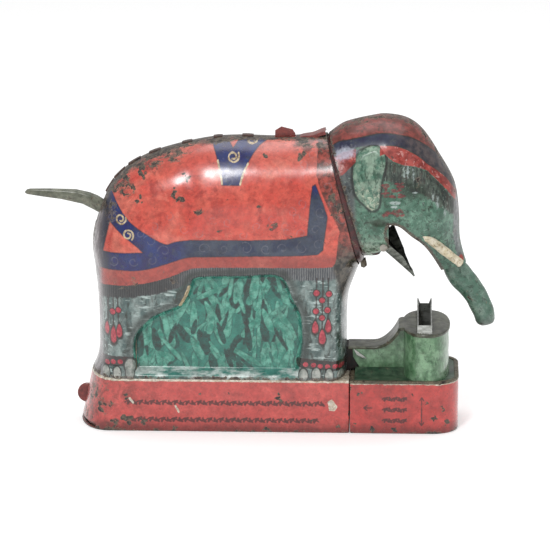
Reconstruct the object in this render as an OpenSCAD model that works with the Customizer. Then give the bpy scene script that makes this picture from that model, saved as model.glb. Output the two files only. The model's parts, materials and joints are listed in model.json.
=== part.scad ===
// Tinplate mechanical bank: an elephant stands on a money box in front of a tree stump.
// A coin stands in the stump's chute. Pressing the tail swings a kicker up under the coin,
// lifts the head and closes the jaw on the coin, which falls through the neck into the box.
// +X is the way the elephant faces, +Y is its left, +Z is up. The origin is on the table,
// under the middle of the whole length. Millimetres.

/* [Tinplate] */
// Thickness of the pressed sheet
tin = 0.6; // [0.5:0.05:0.65]
// Width of the box and of the elephant's belly
body_w = 38; // [37.6:0.2:38.6]

/* [Money box] */
// Height of the box
box_h = 19.5; // [19.3:0.1:19.6]
// Rear end of the box at the table
box_rear = -64.7; // [-65:0.1:-64.5]
// Front end of the main box, where the front box joins it
box_front = 32.8; // [32.7:0.1:32.9]
// How far the rounded rear end bulges
box_bulge = 11; // [10:0.5:12]
// Lean of the rear wall
box_lean = 12; // [11:0.5:12.5]
// Front end of the front box
front_end = 71.8; // [71:0.2:72.4]
// Corner radius of the front box
front_r = 9.5; // [8.5:0.5:10]

/* [Stump] */
// Middle of the stump
stump_x = 60.1; // [59.9:0.1:60.3]
// Length of the stump along the bank
stump_l = 17.2; // [16.8:0.1:17.4]
// Depth of the stump across the bank
stump_d = 36.4; // [35.8:0.2:36.8]
// Height of the stump's top
stump_h = 36.5; // [36.2:0.1:36.7]
// Height of the track that the kicker runs along
track_h = 20.9; // [20.8:0.1:21]

/* [Coin] */
// Diameter of the coin, an old penny
coin_d = 30.8; // [30.2:0.1:31]
// Thickness of the coin
coin_t = 1.9; // [1.6:0.1:2]
// Middle of the coin chute
chute_x = 59.5; // [59.4:0.1:59.6]
// Gap between the chute's plates
chute_gap = 4.4; // [4.2:0.1:4.5]

/* [Mechanism] */
// Diameter of the tail and kicker shafts
shaft_d = 2.5; // [2.4:0.05:2.6]
// Diameter of the neck pin, jaw pin and rod rivets
pin_d = 1.6; // [1.5:0.05:1.7]
// Thickness of brackets, arms and rods
strap = 0.8; // [0.7:0.05:0.85]
// Length of the tail lever's arm that pushes the head rod
head_arm = 20; // [19.5:0.1:20.5]
// Length of the tail lever's arm that pushes the kicker rod
kick_arm = 12; // [11.8:0.1:12.4]
// Length of the crank that shuts the jaw
jaw_crank = 6.5; // [6.3:0.1:6.7]

/* [Hidden] */
$fn = 48;
half = body_w / 2;
run_fit = 0.05;
eye_play = 0.3;
seam_gap = 0.02;

// Pivots in the plane of the bank: [x, z]
tail_pivot = [-46, 72];
neck_pivot = [26.2, 101.8];
jaw_pivot = [44.6, 68.3];
kick_pivot = [25.3, 25];
wire_post = [20, 74];
head_lug = [30, 68];
head_crank_end = tail_pivot + [2, -head_arm];
kick_crank_end = tail_pivot + [2, -kick_arm];
kick_heel = kick_pivot + [-1, -9];
jaw_crank_end = jaw_pivot + [0, jaw_crank];
// Planes across the bank: rods, then the arms that they hang on, then the brackets
rod_y = 13.3;
arm_y = rod_y + strap + 0.4;
bracket_y = arm_y + strap + 0.4;

// Neck opening of the body: its lowest and highest points
neck_low = [36, 58.8];
neck_high = [24, 105.8];
neck_len = norm(neck_high - neck_low);
neck_tilt = atan2(neck_low.x - neck_high.x, neck_high.y - neck_low.y);
neck_half = 18;
neck_round_top = 22;
neck_round_low = 9;

function ease(t) = let(c = min(1, max(0, t))) c * c * (3 - 2 * c);
function mix(a, b, t) = a + (b - a) * t;
function last(list) = list[len(list) - 1];

// Catmull-Rom curve through points of any dimension, t from 0 to 1 along the whole list
function span(a, b, c, d, t) =
    0.5 * (2 * b + (c - a) * t + (2 * a - 5 * b + 4 * c - d) * t * t
        + (3 * b - a - 3 * c + d) * t * t * t);
function along(p, t) =
    let(n = len(p) - 1, s = t * n, i = min(n - 1, floor(s)))
    span(p[max(0, i - 1)], p[i], p[i + 1], p[min(n, i + 2)], s - i);

// Share of the way from a seam to the full width: 0 on the seam, 1 past its edge radius
function gap_to(p, a, b) =
    let(d = [b.x - a.x, b.y - a.y],
        t = max(0, min(1, ((p.x - a.x) * d.x + (p.y - a.y) * d.y) / (d * d))))
    norm([p.x - a.x - t * d.x, p.y - a.y - t * d.y]);
function edge_share(p, seam) =
    min([for (i = [0 : len(seam) - 2]) gap_to(p, seam[i], seam[i + 1]) / seam[i].z]);
function rounded(share) = let(c = min(1, share)) sqrt(1 - pow(1 - c, 2));

// Point inside four sides, given as rows and columns of points (a Coons patch)
function patch(i, j, low, top, rear, front, u, v) =
    (1 - v) * low[i] + v * top[i] + (1 - u) * rear[j] + u * front[j]
    - (1 - u) * (1 - v) * low[0] - u * (1 - v) * last(low)
    - (1 - u) * v * top[0] - u * v * last(top);

// Half of a pressed shell: a closed sheet between an outer and an inner grid of points,
// facing -Y. Each row lists points from rear to front; rows go from the bottom up.
module sheet(outer, inner) {
    rows = len(outer);
    cols = len(outer[0]);
    layer = rows * cols;
    points = concat([for (row = outer) each row], [for (row = inner) each row]);
    skin = [for (j = [0 : rows - 2], i = [0 : cols - 2])
        let(a = j * cols + i, b = a + 1, c = b + cols, d = a + cols)
        each [[a, c, b], [a, d, c], [layer + a, layer + b, layer + c],
            [layer + a, layer + c, layer + d]]];
    rim_loop = concat(
        [for (i = [0 : cols - 1]) i],
        [for (j = [1 : rows - 1]) j * cols + cols - 1],
        [for (i = [cols - 2 : -1 : 0]) (rows - 1) * cols + i],
        [for (j = [rows - 2 : -1 : 1]) j * cols]);
    rim = [for (k = [0 : len(rim_loop) - 1])
        let(a = rim_loop[k], b = rim_loop[(k + 1) % len(rim_loop)])
        each [[a, b, layer + b], [a, layer + b, layer + a]]];
    polyhedron(points = points, faces = concat(skin, rim), convexity = 6);
}

// The two point grids of a pressed half: place is a grid of [x, z], share a grid of edge
// shares, reach a grid of half widths; toward is the point that the inner skin shrinks to
function outer_grid(place, share, reach) =
    [for (j = [0 : len(place) - 1]) [for (i = [0 : len(place[0]) - 1])
        [place[j][i].x, -seam_gap - reach[j][i] * rounded(share[j][i]), place[j][i].y]]];
function inner_grid(place, share, reach, toward) =
    [for (j = [0 : len(place) - 1]) [for (i = [0 : len(place[0]) - 1])
        let(to = toward[i] - place[j][i],
            pull = tin * (1 - min(1, share[j][i])) / max(norm(to), 1),
            h = reach[j][i] * rounded(share[j][i]) * (1 - tin / reach[j][i]))
        [place[j][i].x + to.x * pull, -seam_gap - h, place[j][i].y + to.y * pull]]];

// Flat plate in the plane of the bank, t thick, its outer face at y
module upright(y, t) {
    translate([0, y + t, 0]) rotate([90, 0, 0]) linear_extrude(t) children();
}

// Round bar across the bank between y0 and y1 at p = [x, z]
module cross_bar(p, r, y0, y1) {
    translate([p.x, y1, p.y]) rotate([90, 0, 0]) cylinder(r = r, h = y1 - y0);
}

// Outline of a straight strap from p to q, w wide with round ends
module strap_outline(p, q, w) {
    turn = atan2(q.y - p.y, q.x - p.x);
    polygon(concat(
        [for (a = [90 : 18 : 270]) p + w / 2 * [cos(a + turn), sin(a + turn)]],
        [for (a = [-90 : 18 : 90]) q + w / 2 * [cos(a + turn), sin(a + turn)]]));
}

// ---------------------------------------------------------------- elephant's body

// Back seam from the hind foot over the rump to the neck: [x, z, edge radius]
back_seam = [[-60.4, 19.5, 10.8], [-58, 27, 11], [-58, 44, 12.5], [-59, 56, 14], [-60, 66, 15],
    [-58.4, 75, 17], [-55, 84, 20], [-51, 90, 22], [-44.5, 95.4, 24], [-35, 99.8, 25],
    [-20, 103.6, 25], [-8, 104.8, 25], [8, 104.6, 24], [24, 105.8, neck_round_top]];
rump_spans = 5;
chest_seam = [[31.8, 19.5, 5], [31.6, 35, 5], [32.2, 48, 6], [36, 58.8, neck_round_low]];

body_cols = 34;
body_rows = 26;
neck_row = 12;
neck_v = 0.586;
body_u = [for (i = [0 : body_cols]) mix(i / body_cols, (1 - cos(180 * i / body_cols)) / 2, 0.6)];
body_v = [for (j = [0 : body_rows]) j <= neck_row ? neck_v * j / neck_row
    : mix(neck_v, 1, (1 - cos(180 * (j - neck_row) / (body_rows - neck_row))) / 2)];
rump_share = rump_spans / (len(back_seam) - 1);
body_rear = [for (v = body_v) along(back_seam, v * rump_share)];
body_top = [for (u = body_u) along(back_seam, mix(rump_share, 1, u))];
body_low = [for (u = body_u) mix(back_seam[0], chest_seam[0], u)];
body_fore = [for (j = [0 : body_rows])
    j <= neck_row ? along(chest_seam, body_v[j] / body_v[neck_row])
    : mix(last(chest_seam), last(back_seam),
        (body_v[j] - body_v[neck_row]) / (1 - body_v[neck_row]))];
back_edge = [for (i = [0 : 60]) along(back_seam, i / 60)];
chest_edge = [for (i = [0 : 12]) along(chest_seam, i / 12)];

function neck_x(z) = mix(neck_low.x, neck_high.x, (z - neck_low.y) / (neck_high.y - neck_low.y));

// Panel between the legs, pressed in by panel_depth
panel_depth = 3.5;
panel_edge = 4;
panel_top = 57;
function panel_rear(z) = mix(-44, -24, ease((z - 33) / 21));
function panel_front(z) = mix(15.5, 8, ease((z - 38) / 19));
function panel(x, z) =
    ease((x - panel_rear(z)) / panel_edge) * ease((panel_front(z) - x) / panel_edge)
    * ease((panel_top - z) / panel_edge) * ease((z - box_h) / 5);

function body_reach(p) =
    half - (half - neck_half) * ease(1 - (neck_x(p.y) - p.x) / 30) * ease((p.y - 30) / 30)
    - panel_depth * panel(p.x, p.y);

body_place = [for (j = [0 : body_rows]) [for (i = [0 : body_cols])
    let(p = patch(i, j, body_low, body_top, body_rear, body_fore, body_u[i], body_v[j]))
    [p.x, p.y]]];
body_share = [for (j = [0 : body_rows]) [for (i = [0 : body_cols])
    i == 0 || j == body_rows || (i == body_cols && j <= neck_row) ? 0
    : min(edge_share(body_place[j][i], back_edge), edge_share(body_place[j][i], chest_edge))]];
body_wide = [for (row = body_place) [for (p = row) body_reach(p)]];
body_middle = [for (i = [0 : body_cols]) [-12, 58]];

tail_slot = [3.6, 73, 84];
kick_slot = [4.2, 27.4];
flap_x = [5.6, 12.8];

module body_half() {
    difference() {
        sheet(outer_grid(body_place, body_share, body_wide),
            inner_grid(body_place, body_share, body_wide, body_middle));
        // slot for the tail
        translate([-66, -tail_slot.x, tail_slot.y])
            cube([14, 2 * tail_slot.x, tail_slot.z - tail_slot.y]);
        // slot for the kicker, low in the chest
        translate([26, -kick_slot.x, box_h - 1])
            cube([10, 2 * kick_slot.x, kick_slot.y - box_h + 1]);
        // slit for the neck bracket's tab
        translate([flap_x[0] - 0.3, -strap / 2 - 0.1, 100])
            cube([flap_x[1] - flap_x[0] + 0.6, strap + 0.2, 10]);
    }
}

module right_body_shell() {
    color([0.78, 0.36, 0.33]) body_half();
}

module left_body_shell() {
    color([0.78, 0.36, 0.33]) mirror([0, 1, 0]) body_half();
}

// ---------------------------------------------------------------- money box

// Solid of the main box, shrunk by gap: its round rear end leans over its height and its
// front is upright
module box_block(gap, z0, z1, front) {
    function loop(z) = concat(
        [for (a = [-90 : 9 : 90])
            [box_rear + box_bulge - (box_bulge - gap) * cos(a) + z * tan(box_lean),
                (half - gap) * sin(a), z]],
        [[front, half - gap, z], [front, gap - half, z]]);
    n = len(loop(0));
    polyhedron(points = concat(loop(z0), loop(z1)), faces = concat(
        [[for (i = [n - 1 : -1 : 0]) i]], [[for (i = [0 : n - 1]) n + i]],
        [for (i = [0 : n - 1]) let(k = (i + 1) % n) [i, k, n + k, n + i]]));
}

lip = 3.1;
slide_half = 16.5;
slide_z = 1;
slide_t = 0.8;
tab_centre = [-62.7, 8.9];
tab_r = 3.6;

// Folded box, open inside the lips at its top and its bottom
module base_shell() {
    color([0.75, 0.34, 0.33]) difference() {
        box_block(0, 0, box_h, box_front);
        box_block(tin, tin, box_h - tin, box_front - tin);
        // openings inside the folded lips at the bottom and the top
        for (z = [0, box_h]) translate([z * tan(box_lean), 0, z - 2]) linear_extrude(4)
            polygon(concat([for (a = [-84 : 12 : 84])
                [box_rear + box_bulge - (box_bulge - lip) * cos(a), (half - lip) * sin(a)]],
                [[28, half - lip], [box_front - lip, half - lip - 2],
                [box_front - lip, 2 + lip - half], [28, lip - half]]));
        // gap at the rear for the slide
        translate([box_rear - 10, -slide_half - 0.4, tin])
            cube([30, 2 * slide_half + 0.8, slide_z + slide_t + 0.4 - tin]);
        // slot for the slide's tab
        translate([box_rear - 10, -0.8, tin]) cube([22, 1.6, tab_centre.y + tab_r + 0.5 - tin]);
    }
}

// Strips inside the box that hold the slide down
module slide_guides() {
    color([0.45, 0.4, 0.36]) for (side = [-1, 1])
        translate([-45, side * (half - tin - 1.05) - 1, slide_z + slide_t + 0.4])
            cube([70, 2, 0.6]);
}

// Sliding bottom with its finger tab
module coin_slide() {
    color([0.5, 0.24, 0.22]) {
        intersection() {
            box_block(tin + 0.6, slide_z, slide_z + slide_t, box_front - tin - 0.6);
            translate([-70, -slide_half, 0]) cube([140, 2 * slide_half, 5]);
        }
        upright(-0.4, 0.8) {
            translate(tab_centre) circle(tab_r);
            translate([tab_centre.x, slide_z]) square([6, tab_centre.y - slide_z + 2]);
        }
    }
}

// ---------------------------------------------------------------- front box and stump

// Plan of the front box, shrunk by gap: square at the rear, round corners at the front
module front_plan(gap) {
    x0 = box_front + 0.3 + gap;
    r = front_r - gap;
    for (side = [-1, 1]) translate([front_end - front_r, side * (half - front_r)]) circle(r);
    translate([x0, gap - half]) square([front_end - front_r - x0, body_w - 2 * gap]);
    translate([x0, front_r - half]) square([front_end - gap - x0, body_w - 2 * front_r]);
}

rim_h = 0.9;

module front_base_shell() {
    color([0.75, 0.34, 0.33]) difference() {
        linear_extrude(box_h - rim_h) front_plan(0);
        translate([0, 0, tin]) linear_extrude(box_h) front_plan(tin);
        translate([0, 0, -1]) linear_extrude(4) front_plan(lip);
    }
}

// Tray on the front box: a rolled rim round a floor, with the raised track for the kicker
module front_base_top() {
    floor_z = box_h - rim_h;
    color([0.3, 0.42, 0.33]) {
        difference() {
            translate([0, 0, floor_z]) linear_extrude(rim_h) front_plan(0);
            translate([0, 0, floor_z + 0.5]) linear_extrude(rim_h) front_plan(1.4);
        }
        intersection() {
            track(0);
            linear_extrude(60) front_plan(1.5);
        }
    }
}

// Raised track on the tray floor, from the leg to the stump, its sides grown outward
module track(grow) {
    low = box_h - rim_h + 0.5;
    translate([box_front + 1.8, 0, 0]) rotate([90, 0, 90]) linear_extrude(stump_x - box_front)
        polygon([[-9 - grow, low], [-5.5 - grow, track_h], [5.5 + grow, track_h],
            [9 + grow, low]]);
}

// Oval plan of the stump, shrunk by gap, a little squarer than an ellipse
module stump_plan(gap) {
    power = 2 / 2.3;
    polygon([for (a = [0 : 7.5 : 352.5])
        [stump_x + (stump_l / 2 - gap) * sign(cos(a)) * pow(abs(cos(a)), power),
            (stump_d / 2 - gap) * sign(sin(a)) * pow(abs(sin(a)), power)]]);
}

cover_t = 0.6;
tunnel_half = 5;
tunnel_mouth = box_front + 0.9;
tunnel_h = 28.7;
// Top of the tunnel's roof from the leg to the stump: level, then a hollow ramp
roof = concat([[tunnel_mouth - 0.3, tunnel_h]],
    [for (a = [0 : 9 : 54]) [41 + 11.6 * sin(a), tunnel_h + 19 * (1 - cos(a))]]);

module stump_wall() {
    wall_top = stump_h - cover_t;
    color([0.45, 0.61, 0.47]) {
        difference() {
            translate([0, 0, box_h - rim_h + 0.5]) linear_extrude(wall_top - box_h + rim_h - 0.5)
                stump_plan(0.4);
            translate([0, 0, 10]) linear_extrude(40) stump_plan(0.4 + tin);
            translate([stump_x - stump_l, tin - tunnel_half, track_h])
                cube([stump_l, 2 * (tunnel_half - tin), wall_top]);
            track(0.1);
        }
        // walls of the tunnel, cut aslant at the mouth
        for (y = [-tunnel_half, tunnel_half - tin]) upright(y, tin) difference() {
            polygon(concat([[tunnel_mouth + 2.6, track_h], [tunnel_mouth, tunnel_h - cover_t]],
                [for (p = roof) if (p.x > tunnel_mouth && p.x < stump_x - stump_l / 2 + 1)
                    p - [0, cover_t]], [[stump_x - stump_l / 2 + 0.7, track_h]]));
        }
    }
}

// Top plate of the stump and the roof that runs down from it over the tunnel
module stump_cover() {
    color([0.5, 0.5, 0.45]) {
        translate([0, 0, stump_h - cover_t]) difference() {
            linear_extrude(cover_t) stump_plan(0);
            translate([0, 0, -1]) linear_extrude(3) chute_plan(chute_gap + 1.2, coin_d + 2.6);
        }
        intersection() {
            upright(-9, 18) polygon(concat(roof, [[stump_x - stump_l / 2 + 1, stump_h]],
                [[stump_x - stump_l / 2 + 1, stump_h - cover_t]],
                [for (i = [len(roof) - 1 : -1 : 0]) roof[i] - [0, cover_t]]));
            linear_extrude(60) polygon([[30, -5.2], [44, -5.2], [52, -8.4], [52, 8.4],
                [44, 5.2], [30, 5.2]]);
            difference() {
                translate([0, -20, 0]) cube([60, 40, 60]);
                translate([0, 0, stump_h - cover_t]) linear_extrude(20) stump_plan(0);
            }
        }
    }
}

// Rectangle l long across the bank and w wide, on the chute's middle
module chute_plan(w, l) {
    translate([chute_x - w / 2, -l / 2]) square([w, l]);
}

chute_h = 39.6;
chute_t = 0.5;

// Upright sleeve that holds the coin on edge; the kicker enters through a slot
module coin_chute() {
    w = chute_gap + 2 * chute_t;
    l = coin_d + 1.4 + 2 * chute_t;
    color([0.7, 0.7, 0.68]) difference() {
        union() {
            translate([0, 0, track_h]) linear_extrude(chute_h - track_h) chute_plan(w, l);
            // raised ends of the plates
            translate([chute_x - w / 2, l / 2 - 3, chute_h]) cube([w, 3, 1.9]);
        }
        translate([0, 0, track_h - 1]) linear_extrude(40) chute_plan(chute_gap, l - 2 * chute_t);
        translate([chute_x - chute_gap / 2, 0, chute_h]) cube([chute_gap, l, 5]);
        // slot for the kicker
        translate([chute_x - w, -3.6, track_h - 1]) cube([w, 7.2, 13]);
    }
}

// ---------------------------------------------------------------- kicker

module kicker_lever() {
    color([0.45, 0.43, 0.4]) difference() {
        union() {
            cross_bar(kick_pivot, 2.4, -arm_y - strap, 3.2);
            upright(-2.6, 5.2) polygon([kick_pivot + [0, -1.6], kick_pivot + [9, -3.2],
                [chute_x - 2.7, track_h + 0.7], [chute_x + 1.7, track_h + 0.7],
                [chute_x + 1.7, track_h + 1.7], [chute_x - 2.7, track_h + 1.7],
                kick_pivot + [9, -2], kick_pivot + [0, 1]]);
            upright(-arm_y - strap, strap) strap_outline(kick_pivot, kick_heel, 3.2);
            cross_bar(kick_heel, pin_d / 2, -arm_y, -rod_y + 0.4);
        }
        cross_bar(kick_pivot, shaft_d / 2 + run_fit, -30, 30);
    }
}

module kicker_shaft() {
    color([0.6, 0.58, 0.55])
        cross_bar(kick_pivot, shaft_d / 2, -bracket_y - strap, bracket_y + strap);
}

// ---------------------------------------------------------------- brackets

// Foot on the money box and upright in the plane at bracket_y; side is -1 right, 1 left
module bracket(side, x0, x1) {
    y = side > 0 ? bracket_y : -bracket_y - strap;
    foot_w = 1.3;
    foot_y = side > 0 ? bracket_y : -bracket_y - foot_w;
    upright(y, strap) children();
    translate([x0, foot_y, box_h]) cube([x1 - x0, foot_w, strap]);
}

stay = [-39.5, 67];

module tail_bracket(side) {
    color([0.5, 0.47, 0.42]) difference() {
        bracket(side, tail_pivot.x - 2.7, tail_pivot.x + 2.7) {
            translate([tail_pivot.x - 2.7, box_h]) square([5.4, tail_pivot.y - box_h]);
            translate(tail_pivot) circle(2.7);
            strap_outline(tail_pivot + [1, -2], stay, 4.4);
        }
        cross_bar(tail_pivot, shaft_d / 2, -30, 30);
        cross_bar(stay, pin_d / 2, -30, 30);
    }
}

module right_tail_bracket() { tail_bracket(-1); }

module left_tail_bracket() { tail_bracket(1); }

module kicker_bracket(side) {
    color([0.5, 0.47, 0.42]) difference() {
        bracket(side, 22.3, 28.3) {
            translate([22.3, box_h]) square([6, kick_pivot.y - box_h]);
            translate(kick_pivot) circle(3);
            if (side < 0) {
                strap_outline(kick_pivot, wire_post + [1, -24], 5);
                strap_outline(wire_post + [1, -24], wire_post, 5);
            }
        }
        cross_bar(kick_pivot, shaft_d / 2, -30, 30);
        if (side < 0) cross_bar(wire_post, pin_d / 2, -30, 30);
    }
}

module right_kicker_bracket() { kicker_bracket(-1); }

module left_kicker_bracket() { kicker_bracket(1); }

// Pin that the jaw wire hangs on
module wire_pin() {
    color([0.6, 0.58, 0.55])
        cross_bar(wire_post, pin_d / 2, -bracket_y - strap, -rod_y + 0.4);
}

// Rod that ties the tail brackets together and holds the spring's fixed leg
module bracket_stay() {
    color([0.6, 0.58, 0.55])
        cross_bar(stay, pin_d / 2, -bracket_y - strap, bracket_y + strap);
}

module tail_shaft() {
    color([0.6, 0.58, 0.55])
        cross_bar(tail_pivot, shaft_d / 2, -bracket_y - strap, bracket_y + strap);
}

// Strap under the back with two ears for the neck pin; its tab stands out of the back seam
module neck_bracket() {
    plate_z = 98.6;
    color([0.45, 0.22, 0.2]) difference() {
        union() {
            translate([flap_x[0], -4.9, plate_z]) cube([18, 9.8, strap]);
            upright(-strap / 2, strap) polygon([[flap_x[0], plate_z], [flap_x[0], 106.6],
                [flap_x[0] + 2.2, 108], [flap_x[1] - 1, 107], [flap_x[1], 105.6],
                [flap_x[1], plate_z]]);
            for (y = [-4.9, 4.1]) upright(y, strap) {
                polygon([[18, plate_z], [18, plate_z + strap], neck_pivot + [-1.2, 1.1],
                    neck_pivot + [0.6, -1.5], [23.6, plate_z]]);
                translate(neck_pivot) circle(1.4);
            }
        }
        cross_bar(neck_pivot, pin_d / 2, -10, 10);
    }
}

module neck_pin() {
    color([0.6, 0.58, 0.55]) {
        cross_bar(neck_pivot, pin_d / 2, -5.4, 5.4);
        for (y = [-5.7, 4.9]) cross_bar(neck_pivot, 1.3, y, y + 0.8);
    }
}

// ---------------------------------------------------------------- tail lever, rods, spring

tail_root = 5;
tail_joint = -52;

// Folded tail, pressed down by hand; its root lies on the lever's tongue
module tail() {
    color([0.42, 0.43, 0.37]) intersection() {
        upright(-tail_root, 2 * tail_root) polygon([[-84.2, 83.4], [-82.9, 84.5],
            [-66, 84.5], [-58.2, 82.3], [tail_joint, 78.6], [tail_joint, 72.2], [-58.2, 76.4],
            [-62.5, 79.3], [-71.4, 80.8], [-77.2, 81.2], [-83, 82.5]]);
        linear_extrude(120) polygon([[-84, -0.8], [-58, -tail_root / 2], [-50, -tail_root / 2],
            [-50, tail_root / 2], [-58, tail_root / 2], [-84, 0.8], [-85, 0.6], [-85, -0.6]]);
    }
}

// Hub of the tail with its tongue and two arms; pressing the tail swings the arms forward
module tail_lever() {
    color([0.45, 0.43, 0.4]) difference() {
        union() {
            upright(-tail_root / 2, tail_root) polygon([[tail_joint, 78.3], tail_pivot + [1.2, 2.4],
                tail_pivot + [-1.4, -2.4], [tail_joint, 72.6]]);
            cross_bar(tail_pivot, 2.6, -arm_y - strap, arm_y + strap);
            upright(arm_y, strap) strap_outline(tail_pivot, head_crank_end, 3.2);
            upright(-arm_y - strap, strap) strap_outline(tail_pivot, kick_crank_end, 3.2);
        }
        cross_bar(tail_pivot, shaft_d / 2 + run_fit, -30, 30);
        cross_bar(head_crank_end, pin_d / 2, 0, 30);
        cross_bar(kick_crank_end, pin_d / 2, -30, 0);
    }
}

// Rivets that the rods hang on, one through each arm
module rod_rivets() {
    color([0.6, 0.58, 0.55]) {
        cross_bar(head_crank_end, pin_d / 2, rod_y - 0.3, arm_y + strap + 0.3);
        cross_bar(kick_crank_end, pin_d / 2, -arm_y - strap - 0.3, 0.3 - rod_y);
    }
}

// Flat rod in the plane at y from a close eye at p to a loose eye at q
module rod(p, q, y) {
    color([0.55, 0.53, 0.5]) upright(y, strap) difference() {
        strap_outline(p, q, 3.6);
        translate(p) circle(pin_d / 2 + run_fit);
        translate(q) circle(pin_d / 2 + eye_play);
    }
}

module head_rod() { rod(head_crank_end, head_lug, rod_y); }

module kicker_rod() { rod(kick_crank_end, kick_heel, -rod_y - strap); }

// Sweep of round sections along a path of [x, y, z, radius]
module tube(path, sides) {
    count = len(path);
    function spot(k) = [path[k].x, path[k].y, path[k].z];
    function heading(k) =
        let(d = spot(min(count - 1, k + 1)) - spot(max(0, k - 1))) d / norm(d);
    points = [for (k = [0 : count - 1])
        let(t = heading(k), up = abs(t.y) < 0.9 ? [0, 1, 0] : [1, 0, 0],
            a = cross(t, up) / norm(cross(t, up)), b = cross(t, a))
        for (i = [0 : sides - 1])
            spot(k) + path[k][3] * (cos(360 * i / sides) * a + sin(360 * i / sides) * b)];
    faces = concat(
        [for (k = [0 : count - 2], i = [0 : sides - 1])
            let(p = k * sides + i, q = k * sides + (i + 1) % sides)
            each [[p, p + sides, q + sides], [p, q + sides, q]]],
        [[for (i = [0 : sides - 1]) i]],
        [[for (i = [sides - 1 : -1 : 0]) (count - 1) * sides + i]]);
    polyhedron(points = points, faces = faces, convexity = 8);
}

spring_r = 3.5;
spring_wire = 0.35;
spring_turns = 5;
spring_pitch = 0.95;
spring_y = 3.6;

// Torsion spring round the hub: one leg over the stay, the other against the lever
module return_spring() {
    reach_stay = stay + [0.2, pin_d / 2 + spring_wire + 0.05] - tail_pivot;
    start = atan2(reach_stay.y, reach_stay.x) + acos(spring_r / norm(reach_stay));
    turn = 360 * spring_turns + 130;
    coil = [for (k = [0 : 16 * spring_turns + 6])
        let(t = k / (16 * spring_turns + 6), a = start + turn * t)
        [tail_pivot.x + spring_r * cos(a), spring_y + spring_pitch * spring_turns * t,
            tail_pivot.y + spring_r * sin(a), spring_wire]];
    leg = [tail_pivot.x + reach_stay.x, spring_y, tail_pivot.y + reach_stay.y, spring_wire];
    end_a = start + turn;
    tip = last(coil) + [-5 * sin(end_a), 0, 5 * cos(end_a), 0];
    color([0.62, 0.62, 0.6]) tube(concat([leg], coil, [tip]), 6);
}

// ---------------------------------------------------------------- head

crown_seam = [[25, 106.1, neck_round_top], [30.5, 109.8, 20], [40, 112.2, 18], [45.7, 112.8, 17],
    [53, 111.3, 16], [58.6, 107, 15], [64.4, 98.3, 13], [69.5, 89, 11], [71.3, 79, 9],
    [71.9, 68, 7], [74.2, 59.3, 5]];
chin_seam = [[38.4, 62, 9], [42, 62.2, 8], [45.8, 63.8, 7]];
// Open edge from the chin round the corner of the mouth and down the back of the trunk
mouth_edge = [[45.8, 63.8], [46.5, 68.2], [45.7, 71.2], [45, 73.8], [46.4, 76.2], [50.2, 75.6],
    [54.8, 71.8], [58, 69], [60.8, 65.2], [65.2, 57.2]];

head_cols = 28;
head_rows = 13;
chin_cols = 5;
head_u = [for (i = [0 : head_cols]) i / head_cols];
head_v = [for (j = [0 : head_rows]) sin(90 * j / head_rows)];
head_top = [for (u = head_u) along(crown_seam, u)];
head_low = [for (i = [0 : head_cols]) i <= chin_cols ? along(chin_seam, i / chin_cols)
    : along(mouth_edge, (i - chin_cols) / (head_cols - chin_cols))];
head_rear = [for (v = head_v) mix(chin_seam[0], crown_seam[0], v)];
head_fore = [for (v = head_v) mix([last(mouth_edge).x, last(mouth_edge).y],
    [last(crown_seam).x, last(crown_seam).y], v)];
crown_edge = [for (i = [0 : 50]) along(crown_seam, i / 50)];
chin_edge = [for (i = [0 : 6]) along(chin_seam, i / 6)];

function flat_point(p) = [p.x, p.y];

// Raised leaf-shaped ear
ear_height = 1.2;
function ear(p) =
    let(s = (p - [38.5, 93.5]) * [0.12, 0.99], t = (p - [38.5, 93.5]) * [0.99, -0.12])
    ear_height * ease(2.2 * (1 - pow(s / 12.5, 2) - pow(t / (4.6 + 0.12 * s), 2)));

// Half width of the head: broad cheeks, a narrower forehead and a trunk that tapers
function head_reach(p) =
    let(down = (p.x - 47) * 0.6 + (78 - p.y) * 0.8)
    mix(17.6, 5, ease((down - 6) / 24)) - 2.5 * ease((p.x - 48) / 22) * ease((p.y - 76) / 20)
    + 0.4 * ease((34 - p.x) / 8) + ear(p);

head_place = [for (j = [0 : head_rows]) [for (i = [0 : head_cols])
    flat_point(patch(i, j, [for (p = head_low) flat_point(p)], [for (p = head_top) flat_point(p)],
        [for (p = head_rear) flat_point(p)], head_fore, head_u[i], head_v[j]))]];
head_share = [for (j = [0 : head_rows]) [for (i = [0 : head_cols])
    j == head_rows || (j == 0 && i <= chin_cols) ? 0
    : min(edge_share(head_place[j][i], crown_edge), edge_share(head_place[j][i], chin_edge))]];
head_wide = [for (row = head_place) [for (p = row) head_reach(p)]];
head_middle = [for (i = [0 : head_cols]) mix(head_place[0][i], head_place[head_rows][i], 0.5)];

module head_half() {
    difference() {
        sheet(outer_grid(head_place, head_share, head_wide),
            inner_grid(head_place, head_share, head_wide, head_middle));
        cross_bar(jaw_pivot, pin_d / 2, -30, 30);
        cross_bar(jaw_pivot, jaw_room, -jaw_half - 1, 0);
    }
}

module right_head_shell() {
    color([0.42, 0.56, 0.48]) head_half();
}

module left_head_shell() {
    color([0.42, 0.56, 0.48]) mirror([0, 1, 0]) head_half();
}

// Half width of the neck opening at s along it from its lowest point
function neck_profile(s) =
    neck_half * rounded(min(s / neck_round_low, (neck_len - s) / neck_round_top));

// Closed loop of [y, s] round the neck, shrunk by gap, the same number of points for any gap
function neck_loop(gap) =
    let(middle = neck_len / 2, k = 1 - gap / middle,
        side = [for (i = [0 : 18]) let(s = neck_len * (1 - cos(180 * i / 18)) / 2)
            [neck_profile(s) * (1 - gap / neck_half), middle + (s - middle) * k]])
    concat(side, [for (i = [17 : -1 : 1]) [-side[i].x, side[i].y]]);

// Local frame of the neck opening: x out of the body, z up along the opening
module in_neck() {
    translate([neck_low.x, 0, neck_low.y]) rotate([0, -neck_tilt, 0]) children();
}

sleeve_gap = tin + 0.5;
sleeve_t = 0.5;
chin_rise = 3.2;

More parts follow.
